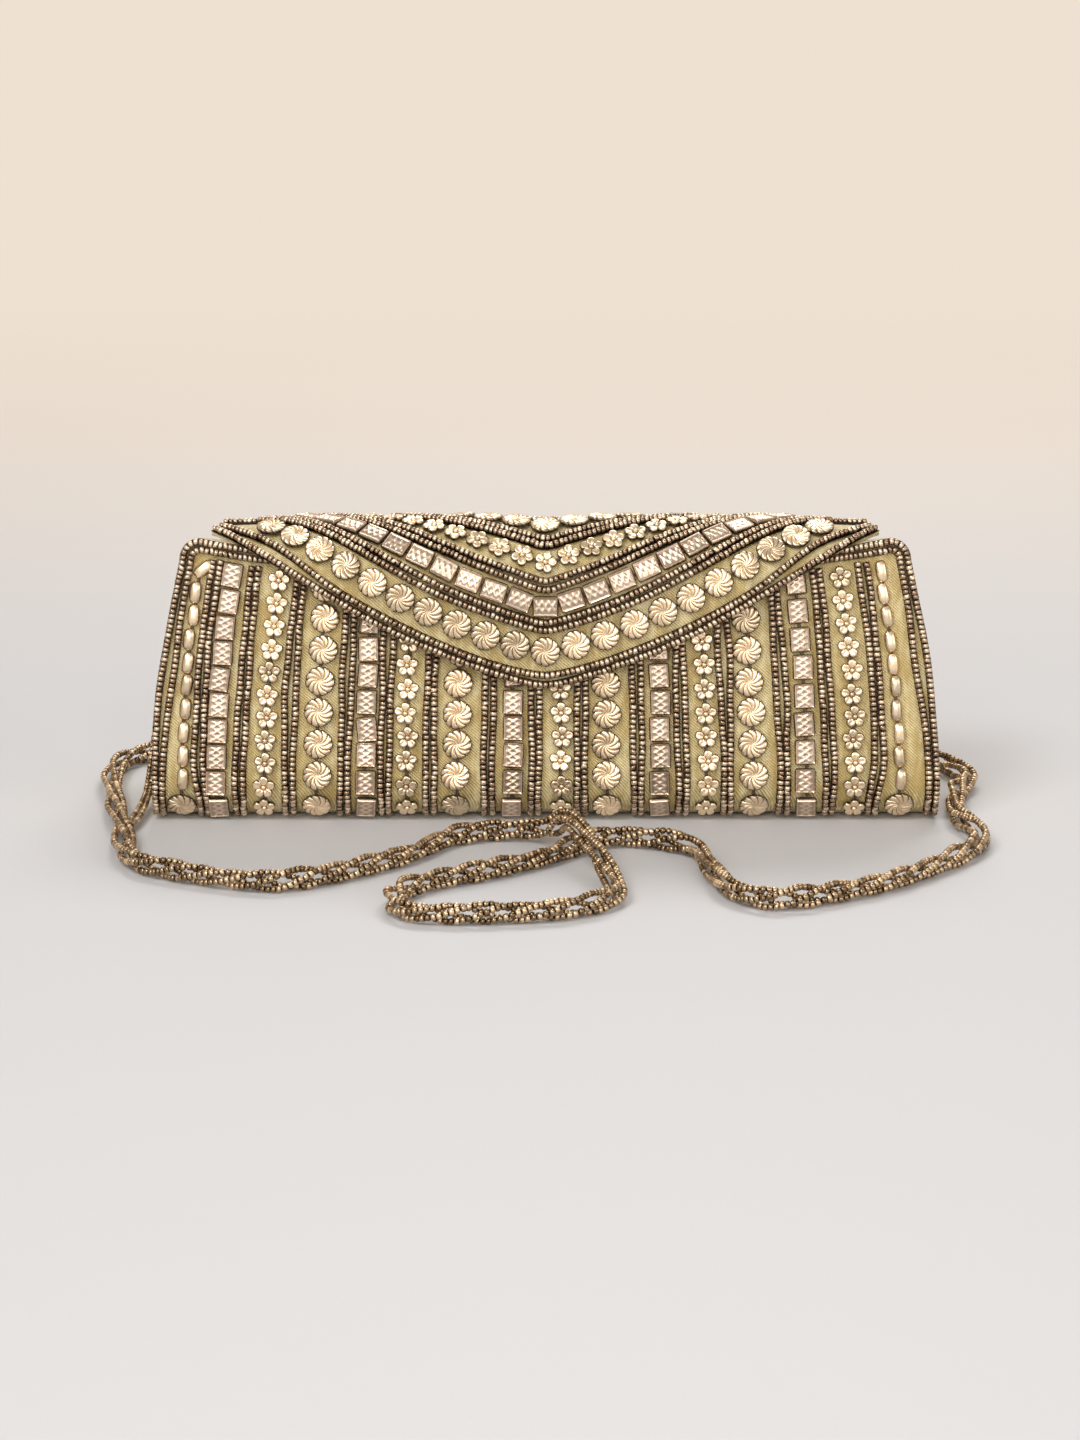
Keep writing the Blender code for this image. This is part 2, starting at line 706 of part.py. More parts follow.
def strap(group):
    points = smooth_route(STRAP_ROUTE, 80)
    points[:, 2] = np.maximum(points[:, 2], STRAP_RADIUS + 0.00005)
    return tube(group, "strap", "strap", [tuple(p) for p in points], STRAP_RADIUS, 2)


STRAND_ROUTE = ((0.1200, 0.0238, 0.0683), (0.1212, 0.0262, 0.0565), (0.1270, 0.0296, 0.0470),
                (0.1335, 0.0310, 0.0410), (0.1354, 0.0250, 0.0360), (0.1354, 0.0120, 0.0280),
                (0.1360, 0.0000, 0.0150), (0.1364, -0.0120, 0.0055), (0.1364, -0.0280, 0.0019),
                (0.1364, -0.0450, 0.0019))


def loose_strands(group):
    points = smooth_route(STRAND_ROUTE, 24)
    return tube(group, "strap_loose_strands", "strap", [tuple(p) for p in points], STRAND_RADIUS, 1)


def strap_tab(group, name, side):
    """Cloth-covered block at the back's upper corner, in which the strap's strings end."""
    y, z = wall(MOUTH_LENGTH - TAB_DROP, GAP + TAB[1] / 2)
    bpy.ops.mesh.primitive_cube_add(size=1.0, location=(side * (HALF_BASE - TAB_INSET), -y, z))
    obj = bpy.context.object
    obj.name = name
    obj.scale = TAB
    obj.rotation_euler = (LEAN, 0.0, 0.0)
    for owner in list(obj.users_collection):
        owner.objects.unlink(obj)
    group.objects.link(obj)
    obj.data.materials.append(material(name, "satin"))
    return obj


def build():
    clear_scene()
    group = new_collection("clutch_bag")
    cutters = new_collection("cutters")
    front_panel(group, cutters)
    back_panel(group)
    base_panel(group)
    end_panel(group, "end_panel_left", -1)
    end_panel(group, "end_panel_right", 1)
    lining(group)
    piping(group)
    magnet(group, "front_magnet", *front_magnet_place(), 1)
    flap_shell(group)
    flap_lining(group)
    flap_magnet(group)
    for index in range(16):
        ornament_column(group, index)
    for index in range(15):
        seed_pair(group, index)
    edge_strings(group, "edge_strings_left", -1)
    edge_strings(group, "edge_strings_right", 1)
    mouth_strings(group)
    flap_rows(group)
    ridge_strings(group)
    strap(group)
    loose_strands(group)
    strap_tab(group, "strap_tab_left", -1)
    strap_tab(group, "strap_tab_right", 1)
    for obj in list(group.objects) + list(cutters.objects):
        obj.location.y += CENTRE_SHIFT


build()
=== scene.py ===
"""Beaded box clutch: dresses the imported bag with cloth, strung ornaments, seed beads and its strap."""

import math

import bpy
import numpy as np
from bpy.props import FloatProperty, FloatVectorProperty, IntProperty, PointerProperty
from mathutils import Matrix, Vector


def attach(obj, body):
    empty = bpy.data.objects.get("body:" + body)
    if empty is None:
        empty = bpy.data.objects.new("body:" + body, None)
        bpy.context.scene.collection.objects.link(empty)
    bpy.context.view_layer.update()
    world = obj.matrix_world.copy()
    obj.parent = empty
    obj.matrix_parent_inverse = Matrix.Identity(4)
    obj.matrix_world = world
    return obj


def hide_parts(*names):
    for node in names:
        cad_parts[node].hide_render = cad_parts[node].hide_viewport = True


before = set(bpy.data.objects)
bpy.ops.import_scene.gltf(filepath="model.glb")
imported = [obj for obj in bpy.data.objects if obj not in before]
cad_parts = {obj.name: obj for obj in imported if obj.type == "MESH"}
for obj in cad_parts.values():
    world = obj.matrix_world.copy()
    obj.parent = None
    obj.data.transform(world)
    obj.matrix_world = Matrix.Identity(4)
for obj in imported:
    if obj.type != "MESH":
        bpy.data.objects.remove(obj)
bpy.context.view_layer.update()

bl_info = {
    "name": "Beaded Clutch Bag",
    "version": (1, 0, 0),
    "blender": (4, 5, 0),
    "location": "View3D > Sidebar > Clutch",
    "description": "Makes a box clutch with strung ornaments, a V flap and a twisted bead strap",
    "category": "Add Mesh",
}

# The bag's form, the same sizes as its solids, in metres
HALF_BASE = 0.1330
TAPER = 0.0105
TAPER_HEIGHT = 0.0980
HALF_DEPTH = 0.0310
EDGE_RADIUS = 0.0140
LEAN = math.radians(10.2)
MOUTH_HEIGHT = 0.0885
CORNER_RISE = 0.0062
BOARD = 0.0030
GAP = 0.0003
INNER_GAP = 0.0006
LINING_SKIN = 0.0008
END_BOARD = 0.0025
END_INSET = 0.0008
CENTRE_SHIFT = 0.00135
RIDGE_BACK = 0.0113
RIDGE_RISE = 0.0100
FRONT_RADIUS = 0.0215
FRONT_LEAN = math.radians(5.4)
HINGE_INSET = 0.0006
HINGE_RISE = 0.0007
FLAP_INSET = 0.0200
FLAP_SAG = 0.0020
SAG_START = 0.0700
FLAP_TIP = 0.0632
TIP_SLOPE = 0.24
TIP_BOW = 0.0332
TIP_SOFT = 0.0050
FLAP_SKIN = 0.0013
FLAP_LINING = 0.0007
ROW_END = 0.0095
ROW_GAP = 0.0007
EDGE_ROW = 0.0013
STRING_STEP = 0.0039
ROW_MARGIN = 0.0005
ROW_NARROWING = 0.78
RIDGE_STRINGS = 0.0068
STRING_PITCH = 0.0033
COLUMN_PLACES = (-0.1220, -0.1102, -0.0940, -0.0768, -0.0606, -0.0464, -0.0295, -0.0112,
                 0.0050, 0.0208, 0.0387, 0.0539, 0.0698, 0.0877, 0.1039, 0.1186)
COLUMN_REFERENCE = 0.0350
COLUMN_START = 0.0092
UNDER_FLAP = 0.0100
TOP_MARGIN = 0.0053
TAB_INSET = 0.0172
TAB_DROP = 0.01575
TAB = (0.0190, 0.0074, 0.0100)
PANEL_NARROWING = 0.0020
MOUTH_REACH = 0.1235
FRONT_CORNER = (0.0065, 0.0065)
BACK_CORNER = (0.0185, 0.0085)
LINING_FOOT = 0.0041
SKIN_INSET = 0.0001

# Strings of beads and threads: insets of the edge strings, threads under ornaments, rows on the flap
SIDE_INSETS = (0.0008, 0.0034)
TOP_INSETS = (0.0004, 0.0030)
EDGE_OPENING = 0.0015
# Thread under the ornaments, thick enough to show as painted shade between them
THREAD_RADIUS = 0.00055
THREAD_LIFT = 0.0010
HIDDEN_RADIUS = 0.00085
SOLID_BEAD = 0.0021
PAIR_SPACING = STRING_PITCH * 0.78
ROW_PAIR_HALF = STRING_PITCH * 0.40
ROW_LIFT = 0.0006
EDGE_STRING = 0.0008
SECOND_STRING = 0.0034

# Strap: its beads against the bag's, its lowest level, and the sizes of its loose strings
STRAP_BEAD = 1.04
STRAP_PITCH = 1.13
STRAP_LEVEL = 0.00365
STRAP_END = 0.010
FLOOR_GAP = 0.00008
LOOSE_BEAD = 0.0019
LOOSE_REACH = 0.00080
LOOSE_TURN = 0.060
LOOSE_LEVEL = 0.00175
LOOSE_END = 0.006

ARC = math.pi / 2 + LEAN
ARC_LENGTH = EDGE_RADIUS * ARC
LINE_START_Z = EDGE_RADIUS * (1 + math.sin(LEAN))
MOUTH_LENGTH = ARC_LENGTH + (MOUTH_HEIGHT - LINE_START_Z) / math.cos(LEAN)
MOUTH_Y = (EDGE_RADIUS * (1 - math.cos(LEAN)) - HALF_DEPTH
           + (MOUTH_HEIGHT - LINE_START_Z) * math.tan(LEAN))
RIDGE_Y = MOUTH_Y + RIDGE_BACK
RIDGE_Z = MOUTH_HEIGHT + RIDGE_RISE
HINGE_Y = -MOUTH_Y - HINGE_INSET
HINGE_Z = MOUTH_HEIGHT + HINGE_RISE
FLAP_HALF = HALF_BASE - FLAP_INSET
BACK_TURN = 2 * math.atan2(RIDGE_Z - HINGE_Z, HINGE_Y - RIDGE_Y)
BACK_RADIUS = (HINGE_Y - RIDGE_Y) / math.sin(BACK_TURN)
BACK_LENGTH = BACK_RADIUS * BACK_TURN
FRONT_TURN = math.pi / 2 - FRONT_LEAN
FRONT_ARC = FRONT_RADIUS * FRONT_TURN

KINDS = ("oval", "square", "flower", "disc", "square", "flower", "disc", "square",
         "flower", "disc", "square", "flower", "disc", "square", "flower", "oval")
PAIR_SHIFT = {"disc": 0.0008, "square": -0.0004, "flower": 0.0, "oval": -0.0010}
PAIR_BEND = {0: 0.0022, 14: -0.0026}


def length(name, words, value):
    """A length that a user may change."""
    return FloatProperty(name=name, description=words, default=value, unit="LENGTH")


def colour(name, words, value):
    """A colour that a user may change."""
    return FloatVectorProperty(name=name, description=words, default=value, size=3, subtype="COLOR",
                               min=0, max=1)


class ClutchSizes(bpy.types.PropertyGroup):
    """Sizes of the beads and ornaments."""
    bead: length("Seed bead", "Width of a seed bead", 0.00225)
    bead_pitch: length("Bead pitch", "Length of string that a seed bead takes", 0.00168)
    disc: length("Disc", "Width of a swirl disc", 0.0099)
    disc_pitch: length("Disc pitch", "Step of the discs", 0.0104)
    square_long: length("Square length", "Length of a square ornament along its string", 0.0084)
    square_wide: length("Square width", "Width of a square ornament", 0.0069)
    square_pitch: length("Square pitch", "Step of the squares", 0.0090)
    flower: length("Flower", "Width of a flower", 0.0080)
    flower_pitch: length("Flower pitch", "Step of the flowers", 0.0081)
    oval_long: length("Oval length", "Length of an oval", 0.0077)
    oval_wide: length("Oval width", "Width of an oval", 0.0042)
    oval_pitch: length("Oval pitch", "Step of the ovals", 0.0079)
    relief: length("Ornament depth", "How far an ornament stands off the cloth", 0.0021)
    strap_width: length("Strap width", "Width of the twisted strap", 0.0074)
    strap_strings: IntProperty(name="Strap strings", description="Bead strings in the strap",
                               default=4, min=2)
    strap_turn: length("Strap twist", "Length of one turn of the strap's twist", 0.0500)


class ClutchColours(bpy.types.PropertyGroup):
    """Colours of cloth and metal."""
    satin: colour("Satin", "Olive gold satin", (0.530, 0.375, 0.128))
    # Painted sheen: the light streaks mixed into the satin's colour
    satin_painted_sheen: colour("Satin sheen", "Lighter threads of the satin", (0.845, 0.715, 0.400))
    lining: colour("Lining", "Brown lining", (0.130, 0.070, 0.038))
    piping: colour("Piping", "Cream cloth cord along the mouth", (0.640, 0.545, 0.385))
    gold: colour("Champagne gold", "Discs, flowers and ovals", (0.930, 0.740, 0.510))
    rose: colour("Rose gold", "Square ornaments", (0.910, 0.710, 0.540))
    seed_dark: colour("Seed bead dark", "Darker seed beads", (0.300, 0.200, 0.128))
    seed_light: colour("Seed bead light", "Lighter seed beads", (0.880, 0.710, 0.520))
    strap_dark: colour("Strap bead dark", "Darker beads of the strap", (0.180, 0.112, 0.056))
    strap_light: colour("Strap bead light", "Lighter beads of the strap", (0.780, 0.580, 0.365))
    # Near black: the thread, and the painted shade between the ornaments
    thread: colour("Thread", "Thread under the ornaments", (0.060, 0.040, 0.022))


def sizes():
    """The scene's sizes."""
    return bpy.context.scene.clutch_sizes


def colours():
    """The scene's colours."""
    return bpy.context.scene.clutch_colours


# Shapes of the bag as functions of arrays

def smooth_step(x, low, high):
    """0 below low, 1 above high, and 3t^2 - 2t^3 between them."""
    t = np.clip((x - low) / (high - low), 0.0, 1.0)
    return t * t * (3 - 2 * t)


def half_width(z):
    """Half the bag's width, which narrows with the square of the height."""
    return HALF_BASE - TAPER * (np.maximum(z, 0.0) / TAPER_HEIGHT) ** 2


def wall(s, out):
    """Depth and height on the front wall at a run s from its foot: an arc of the edge radius, then a
    line that leans back; out is the distance off it."""
    turn = np.clip(s / EDGE_RADIUS, 0.0, ARC)
    run = np.maximum(s - ARC_LENGTH, 0.0)
    y = EDGE_RADIUS - HALF_DEPTH - (EDGE_RADIUS + out) * np.sin(turn) + run * math.sin(LEAN)
    z = EDGE_RADIUS - (EDGE_RADIUS + out) * np.cos(turn) + run * math.cos(LEAN)
    return y + CENTRE_SHIFT, z


def flap_point(x, s, out):
    """Points over the flap: an arc back from the ridge for s below 0, an arc forward from it, then a
    line. Its ends sag a little."""
    x, s, out = np.broadcast_arrays(np.asarray(x, float), np.asarray(s, float), np.asarray(out, float))
    back = np.minimum(s, 0.0) / BACK_RADIUS
    turn = np.clip(s / FRONT_RADIUS, 0.0, FRONT_TURN)
    run = np.maximum(s - FRONT_ARC, 0.0)
    y_back = RIDGE_Y - (BACK_RADIUS + out) * np.sin(back)
    z_back = RIDGE_Z - BACK_RADIUS + (BACK_RADIUS + out) * np.cos(back)
    y_front = RIDGE_Y - (FRONT_RADIUS + out) * np.sin(turn) - run * math.sin(FRONT_LEAN)
    z_front = RIDGE_Z - FRONT_RADIUS + (FRONT_RADIUS + out) * np.cos(turn) - run * math.cos(FRONT_LEAN)
    behind = s < 0
    y = np.where(behind, y_back, y_front) + CENTRE_SHIFT
    sag = FLAP_SAG * smooth_step(np.abs(x), SAG_START, FLAP_HALF)
    sag = sag * smooth_step(s, -0.9 * BACK_LENGTH, -0.003)
    return np.stack([x, y, np.where(behind, z_back, z_front) - sag], axis=-1)


def edge_line(x):
    """How far the flap reaches down at x: a soft V with bowed sides."""
    return FLAP_TIP - TIP_SLOPE * (np.hypot(x, TIP_SOFT) - TIP_SOFT) - TIP_BOW * (x / FLAP_HALF) ** 2


def edge_slope(x):
    """Slope of the flap's edge line at x."""
    return TIP_SLOPE * np.abs(x) / np.hypot(x, TIP_SOFT) + 2 * TIP_BOW * np.abs(x) / FLAP_HALF ** 2


def waves(a, b, seed, count=6, low=40.0, high=160.0):
    """Sum of a few sine waves of random direction over two coordinates in metres, from about -1 to 1."""
    rng = np.random.default_rng(seed)
    total = np.zeros(np.broadcast(a, b).shape)
    for _ in range(count):
        fa, fb = rng.uniform(low, high, 2) * rng.choice([-1, 1], 2)
        total = total + np.sin(fa * a + fb * b + rng.uniform(0, 2 * math.pi))
    return total / count


# Meshes

def unit(v):
    """Directions of length 1."""
    return v / np.maximum(np.linalg.norm(v, axis=-1, keepdims=True), 1e-12)


def finish_piece(name, verts, faces, material, body, nodes, sharp=50.0, attributes=None):
    """Object from arrays of points and faces, turned outwards, with its material, body and nodes."""
    verts = np.asarray(verts, float)
    volume = 0.0
    for block in faces:
        a, b, c = verts[block[:, 0]], verts[block[:, 1]], verts[block[:, 2]]
        volume += np.einsum("ij,ij->i", a, np.cross(b, c)).sum()
        if block.shape[1] > 3:
            d = verts[block[:, 3]]
            volume += np.einsum("ij,ij->i", a, np.cross(c, d)).sum()
    if volume < 0:
        faces = [block[:, ::-1] for block in faces]
    mesh = bpy.data.meshes.new(name)
    loops = np.concatenate([block.ravel() for block in faces]).astype(np.int32)
    counts = np.concatenate([np.full(len(block), block.shape[1]) for block in faces])
    starts = np.concatenate([[0], np.cumsum(counts)[:-1]]).astype(np.int32)
    mesh.vertices.add(len(verts))
    mesh.vertices.foreach_set("co", verts.ravel())
    mesh.loops.add(len(loops))
    mesh.loops.foreach_set("vertex_index", loops)
    mesh.polygons.add(len(starts))
    mesh.polygons.foreach_set("loop_start", starts)
    for key, values in (attributes or {}).items():
        layer = mesh.attributes.new(key, "FLOAT", "POINT")
        layer.data.foreach_set("value", np.asarray(values, np.float32))
    mesh.update(calc_edges=True)
    mesh.validate()
    mesh.shade_smooth()
    mesh.set_sharp_from_angle(angle=math.radians(sharp))
    obj = bpy.data.objects.new(name, mesh)
    bpy.context.scene.collection.objects.link(obj)
    mesh.materials.append(material)
    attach(obj, body)
    if nodes:
        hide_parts(*nodes)
    return obj


def grid_faces(rows, cols, wrap=False, start=0):
    """Quads of a grid of rows by columns, closed round its columns where wrap is set."""
    i, j = np.meshgrid(np.arange(rows - 1), np.arange(cols if wrap else cols - 1), indexing="ij")
    k = (j + 1) % cols
    quads = np.stack([i * cols + j, i * cols + k, (i + 1) * cols + k, (i + 1) * cols + j], axis=-1)
    return quads.reshape(-1, 4) + start


def rim_order(rows, cols):
    """Points round the rim of a grid, in order."""
    top = np.arange(cols)
    right = np.arange(1, rows) * cols + cols - 1
    bottom = (rows - 1) * cols + np.arange(cols - 2, -1, -1)
    left = np.arange(rows - 2, 0, -1) * cols
    return np.concatenate([top, right, bottom, left])


def slab(outer, inner, swell):
    """Closed sheet between two grids; its rim is rounded by a ring half way that stands out by swell."""
    rows, cols = outer.shape[:2]
    a = outer.reshape(-1, 3)
    b = inner.reshape(-1, 3)
    rim = rim_order(rows, cols)
    inside = np.clip(np.stack([rim // cols, rim % cols], -1), 1, [rows - 2, cols - 2])
    towards = a[inside[:, 0] * cols + inside[:, 1]]
    away = unit(a[rim] - towards)
    mid = 0.5 * (a[rim] + b[rim]) + away * swell
    verts = np.concatenate([a, b, mid])
    n = rows * cols
    nxt = np.roll(np.arange(len(rim)), -1)
    m = 2 * n + np.arange(len(rim))
    faces = [grid_faces(rows, cols), grid_faces(rows, cols, start=n)[:, ::-1]]
    faces.append(np.stack([rim, m, m[nxt], rim[nxt]], -1))
    faces.append(np.stack([m, n + rim, n + rim[nxt], m[nxt]], -1))
    return verts, faces


def capped(points, first, last):
    """Closed shape over rings of points, with a pole at each end."""
    rings, segs = points.shape[:2]
    ring = np.arange(segs)
    after = np.roll(ring, -1)
    pole, end = rings * segs, (rings - 1) * segs
    faces = [grid_faces(rings, segs, wrap=True),
             np.stack([np.full(segs, pole), after, ring], -1),
             np.stack([np.full(segs, pole + 1), end + ring, end + after], -1)]
    return np.concatenate([points.reshape(-1, 3), [first, last]]), faces


def tube_faces(rings, segs, start):
    """Closed tube over rings of segs points, with flat ends."""
    sides = grid_faces(rings, segs, wrap=True, start=start)
    first = (start + np.arange(segs))[::-1][None, :]
    last = (start + (rings - 1) * segs + np.arange(segs))[None, :]
    return sides, first, last


# Rings of one bead: place along it, and share of its radius
BEAD_RINGS = np.array([[0.0, 0.32], [0.17, 0.88], [0.50, 1.0], [0.83, 0.88]])


def bead_strings(paths, radius, pitch, seed, wobble=0.00010, segs=8):
    """Seed beads on strings: rings along each path, four to a bead, whose radius follows its outline.
    A path is a pair of arrays: points along the string, and the direction away from the cloth."""
    rng = np.random.default_rng(seed)
    verts, faces, caps, tone, relief = [], [], [], [], []
    start = 0
    angle = np.linspace(0, 2 * math.pi, segs, endpoint=False)
    for points, ups in paths:
        run = np.concatenate([[0.0], np.cumsum(np.linalg.norm(np.diff(points, axis=0), axis=1))])
        beads = max(int(round(run[-1] / pitch)), 1)
        length = rng.normal(1.0, 0.06, beads)
        length *= beads / length.sum()
        begin = np.concatenate([[0.0], np.cumsum(length)[:-1]])
        t = (begin[:, None] + BEAD_RINGS[:, 0] * length[:, None]).ravel()
        t = np.append(t, float(beads)) * run[-1] / beads
        size = radius * np.clip(rng.normal(1.0, 0.045, beads), 0.88, 1.06)
        r = (BEAD_RINGS[:, 1] * size[:, None]).ravel()
        r = np.append(r, r[0])
        centre = np.stack([np.interp(t, run, points[:, k]) for k in range(3)], -1)
        up = unit(np.stack([np.interp(t, run, ups[:, k]) for k in range(3)], -1))
        ahead = unit(np.gradient(centre, axis=0))
        side = unit(np.cross(ahead, up))
        up = np.cross(side, ahead)
        slip = np.append(np.repeat(rng.normal(0, wobble, beads), 4), 0.0)
        slip[::4] *= 0.5
        tilt_size = np.append(np.repeat(rng.normal(0, 0.16, beads), 4), 0.0)
        tilt_way = np.append(np.repeat(rng.uniform(0, 2 * math.pi, beads), 4), 0.0)
        tilt_size[::4] = 0.0
        centre = centre + side * slip[:, None]
        cos, sin = np.cos(angle), np.sin(angle)
        ring = centre[:, None, :] + r[:, None, None] * (cos[None, :, None] * side[:, None, :]
                                                        + sin[None, :, None] * up[:, None, :])
        lean = r[:, None] * tilt_size[:, None] * np.cos(angle[None, :] - tilt_way[:, None])
        ring = ring + lean[..., None] * ahead[:, None, :]
        verts.append(ring.reshape(-1, 3))
        sides, first, last = tube_faces(len(t), segs, start)
        faces.append(sides)
        caps += [first, last]
        shade = rng.uniform(0, 1, beads)
        tone.append(np.repeat(np.append(np.repeat(shade, 4), shade[-1]), segs))
        # Relief of each ring: 0 at the narrow ring between beads, where bead_metal paints shade
        relief.append(np.repeat(np.append(np.tile([0.0, 0.8, 1.0, 0.8], beads), 0.0), segs))
        start += len(t) * segs
    return (np.concatenate(verts), [np.concatenate(faces), np.concatenate(caps)],
            {"tone": np.concatenate(tone), "relief": np.concatenate(relief)})


def painted_shade_ribbon(path, radius):
    """Painted shade under a bead string: a near-black flat ribbon a little wider than the beads,
    standing in for the shade there and for the couching thread.
    """
    points, ups = path
    side = unit(np.cross(unit(np.gradient(points, axis=0)), ups))
    grids = []
    for level in (0.00040, 0.00005):
        middle = points - ups * (radius - level)
        grids.append(np.stack([middle - side * radius * 1.08, middle, middle + side * radius * 1.08], 1))
    verts, faces = slab(grids[0], grids[1], 0.0)
    flat = np.zeros(len(verts))
    # Relief 0.36 turns the ribbon near black in bead_metal: painted shade
    return verts, faces, {"relief": flat + 0.36, "tone": flat}


# Ornaments. Each is a closed shape over a polar or square grid, along its string, across it and off the
# cloth, with the two shares of its height between which a hollow turns into a ridge; below them the
# metal gets its painted shade

def polar_shape(shares, heights, radius_a, radius_b, turns, twist=0.0):
    """Closed button from rings at shares of the radius; the last rings go round its edge to the back."""
    angle = turns + twist
    rings = np.stack([shares * np.cos(angle) * radius_a, shares * np.sin(angle) * radius_b, heights], -1)
    return capped(rings, (0.0, 0.0, heights[0].mean()), (0.0, 0.0, 0.0))


def disc_shape(width, depth):
    """Swirl disc: eleven flat blades with thin grooves between them; the grid turns with the radius."""
    lobes = 11
    share = np.array([0.06, 0.15, 0.28, 0.44, 0.62, 0.79, 0.92, 1.0, 1.0, 0.96])[:, None]
    turn = np.tile([0.0, 0.10, 0.30, 0.52, 0.74, 0.91], lobes)[None, :]
    turns = 2 * math.pi * (np.repeat(np.arange(lobes), 6)[None, :] + turn) / lobes
    blade = (1 - np.abs(2 * turn - 1) ** 6) * (1.12 - 0.40 * turn)
    strength = np.array([0.0, 0.35, 0.7, 0.9, 1.0, 1.0, 0.95, 0.7, 0.3, 0.0])[:, None]
    base = np.array([0.74, 0.70, 0.67, 0.66, 0.65, 0.62, 0.52, 0.38, 0.16, 0.0])[:, None]
    height = (base + 0.24 * strength * blade) * depth
    edge = 1 + 0.07 * (blade - 0.8) * np.array([0, 0, 0, 0, 0.2, 0.6, 1, 1, 1, 0.8])[:, None]
    twist = 1.0 * np.minimum(share, 1.0) ** 0.8
    return *polar_shape(share * edge, height, width / 2, width / 2, turns, twist), (0.62, 0.88)


def flower_shape(width, depth):
    """Five-petal flower: petals with raised rims, creases between them, a ringed dot in the middle."""
    share = np.array([0.10, 0.17, 0.22, 0.29, 0.45, 0.62, 0.78, 0.90, 0.97, 0.99, 0.94])[:, None]
    angle = np.linspace(0, 2 * math.pi, 50, endpoint=False)[None, :]
    petal = np.abs(np.cos(2.5 * angle)) ** 0.6
    outline = 1 - 0.38 * (1 - petal) * smooth_step(share, 0.3, 0.8)
    crease = np.exp(-(np.cos(2.5 * angle) / 0.22) ** 2)
    hollow = np.exp(-(np.sin(2.5 * angle) / 0.45) ** 2)
    strength = np.array([0, 0, 0.2, 0.6, 1, 1, 1, 0.8, 0.4, 0, 0])[:, None]
    dip = np.array([0, 0, 0, 0, 0.5, 1, 0.7, 0.1, 0, 0, 0])[:, None]
    base = np.array([0.96, 0.84, 0.52, 0.66, 0.74, 0.78, 0.80, 0.74, 0.54, 0.22, 0.0])[:, None]
    height = (base - 0.18 * strength * crease - 0.09 * dip * hollow) * depth
    return *polar_shape(share * outline, height, width / 2, width / 2, angle), (0.48, 0.76)


def oval_shape(length, width, depth):
    """Blunt oval dome: outline a rounded oblong, height a flat-topped swell."""
    share = np.array([0.25, 0.50, 0.70, 0.85, 0.95, 1.0, 0.98])[:, None]
    dome = np.array([0.98, 0.92, 0.82, 0.66, 0.46, 0.24, 0.0])[:, None]
    angle = np.linspace(0, 2 * math.pi, 28, endpoint=False)[None, :]
    blunt = (np.abs(np.cos(angle)) ** 3.2 + np.abs(np.sin(angle)) ** 3.2) ** (-1 / 3.2)
    half_a, half_b = 0.97 * length / 2, 0.97 * width / 2
    return *polar_shape(share * blunt, dome * depth + 0 * angle, half_a, half_b, angle), (-0.10, 0.45)


def square_shape(length, width, depth):
    """Embossed square: a raised frame round a braid of two zigzags that cross each other."""
    rows, cols = 25, 19
    u, v = np.meshgrid(np.linspace(-1, 1, rows), np.linspace(-1, 1, cols), indexing="ij")
    inner_u, inner_v = u / 0.80, v / 0.74
    zig = 2 * np.abs(2 * ((0.75 * inner_u + 0.25) % 1.0) - 1) - 1
    one = np.exp(-((inner_v - 0.66 * zig) / 0.22) ** 2)
    two = np.exp(-((inner_v + 0.66 * zig) / 0.22) ** 2)
    braid = np.maximum(one, two)
    border = np.maximum(smooth_step(np.abs(u), 0.84, 0.91), smooth_step(np.abs(v), 0.80, 0.89))
    inside = (1 - smooth_step(np.abs(u), 0.74, 0.80)) * (1 - smooth_step(np.abs(v), 0.68, 0.76))
    fall = np.maximum(smooth_step(np.abs(u), 0.95, 1.0), smooth_step(np.abs(v), 0.94, 1.0))
    height = (0.70 + 0.17 * np.maximum(braid * inside, border)) * (1 - 0.25 * fall)
    round_off = 1 - 0.05 * (np.abs(u * v)) ** 8
    top = np.stack([u * round_off * length / 2, v * round_off * width / 2, height * depth], -1)
    low = top * np.array([1.0, 1.0, 0.0])
    return *slab(top, low, 0.00008), (0.72, 0.98)


def stamp(shape, origin, along, out, seed, jitter=0.03, extra=0.0):
    """Copies of one shape at rows of origins, set along their string and off the cloth, each turned and
    tipped a little at random."""
    pts, faces, (low, high) = shape
    rng = np.random.default_rng(seed)
    count = len(origin)
    turn = rng.normal(0, jitter, count) + extra
    side = unit(np.cross(out, along))
    along2 = along * np.cos(turn)[:, None] + side * np.sin(turn)[:, None]
    side2 = side * np.cos(turn)[:, None] - along * np.sin(turn)[:, None]
    tip = rng.normal(0, 0.035, (2, count, 1))
    out2 = unit(out + along2 * tip[0] + side2 * tip[1])
    along2 = unit(along2 - out2 * np.sum(along2 * out2, axis=1, keepdims=True))
    side2 = np.cross(out2, along2)
    world = (origin[:, None, :] + pts[None, :, 0, None] * along2[:, None, :]
             + pts[None, :, 1, None] * side2[:, None, :] + pts[None, :, 2, None] * out2[:, None, :])
    step = len(pts)
    shift = np.arange(count) * step
    blocks = [(f[None, :, :] + shift[:, None, None]).reshape(-1, f.shape[1]) for f in faces]
    top = pts[:, 2].max()
    # Relief: mask of the metal's painted shade, 0 in the hollows and low sides
    relief = np.tile(smooth_step(pts[:, 2] / top, low, high), count)
    tone = np.repeat(rng.uniform(0, 1, count), step)
    return world.reshape(-1, 3), blocks, {"relief": relief, "tone": tone}


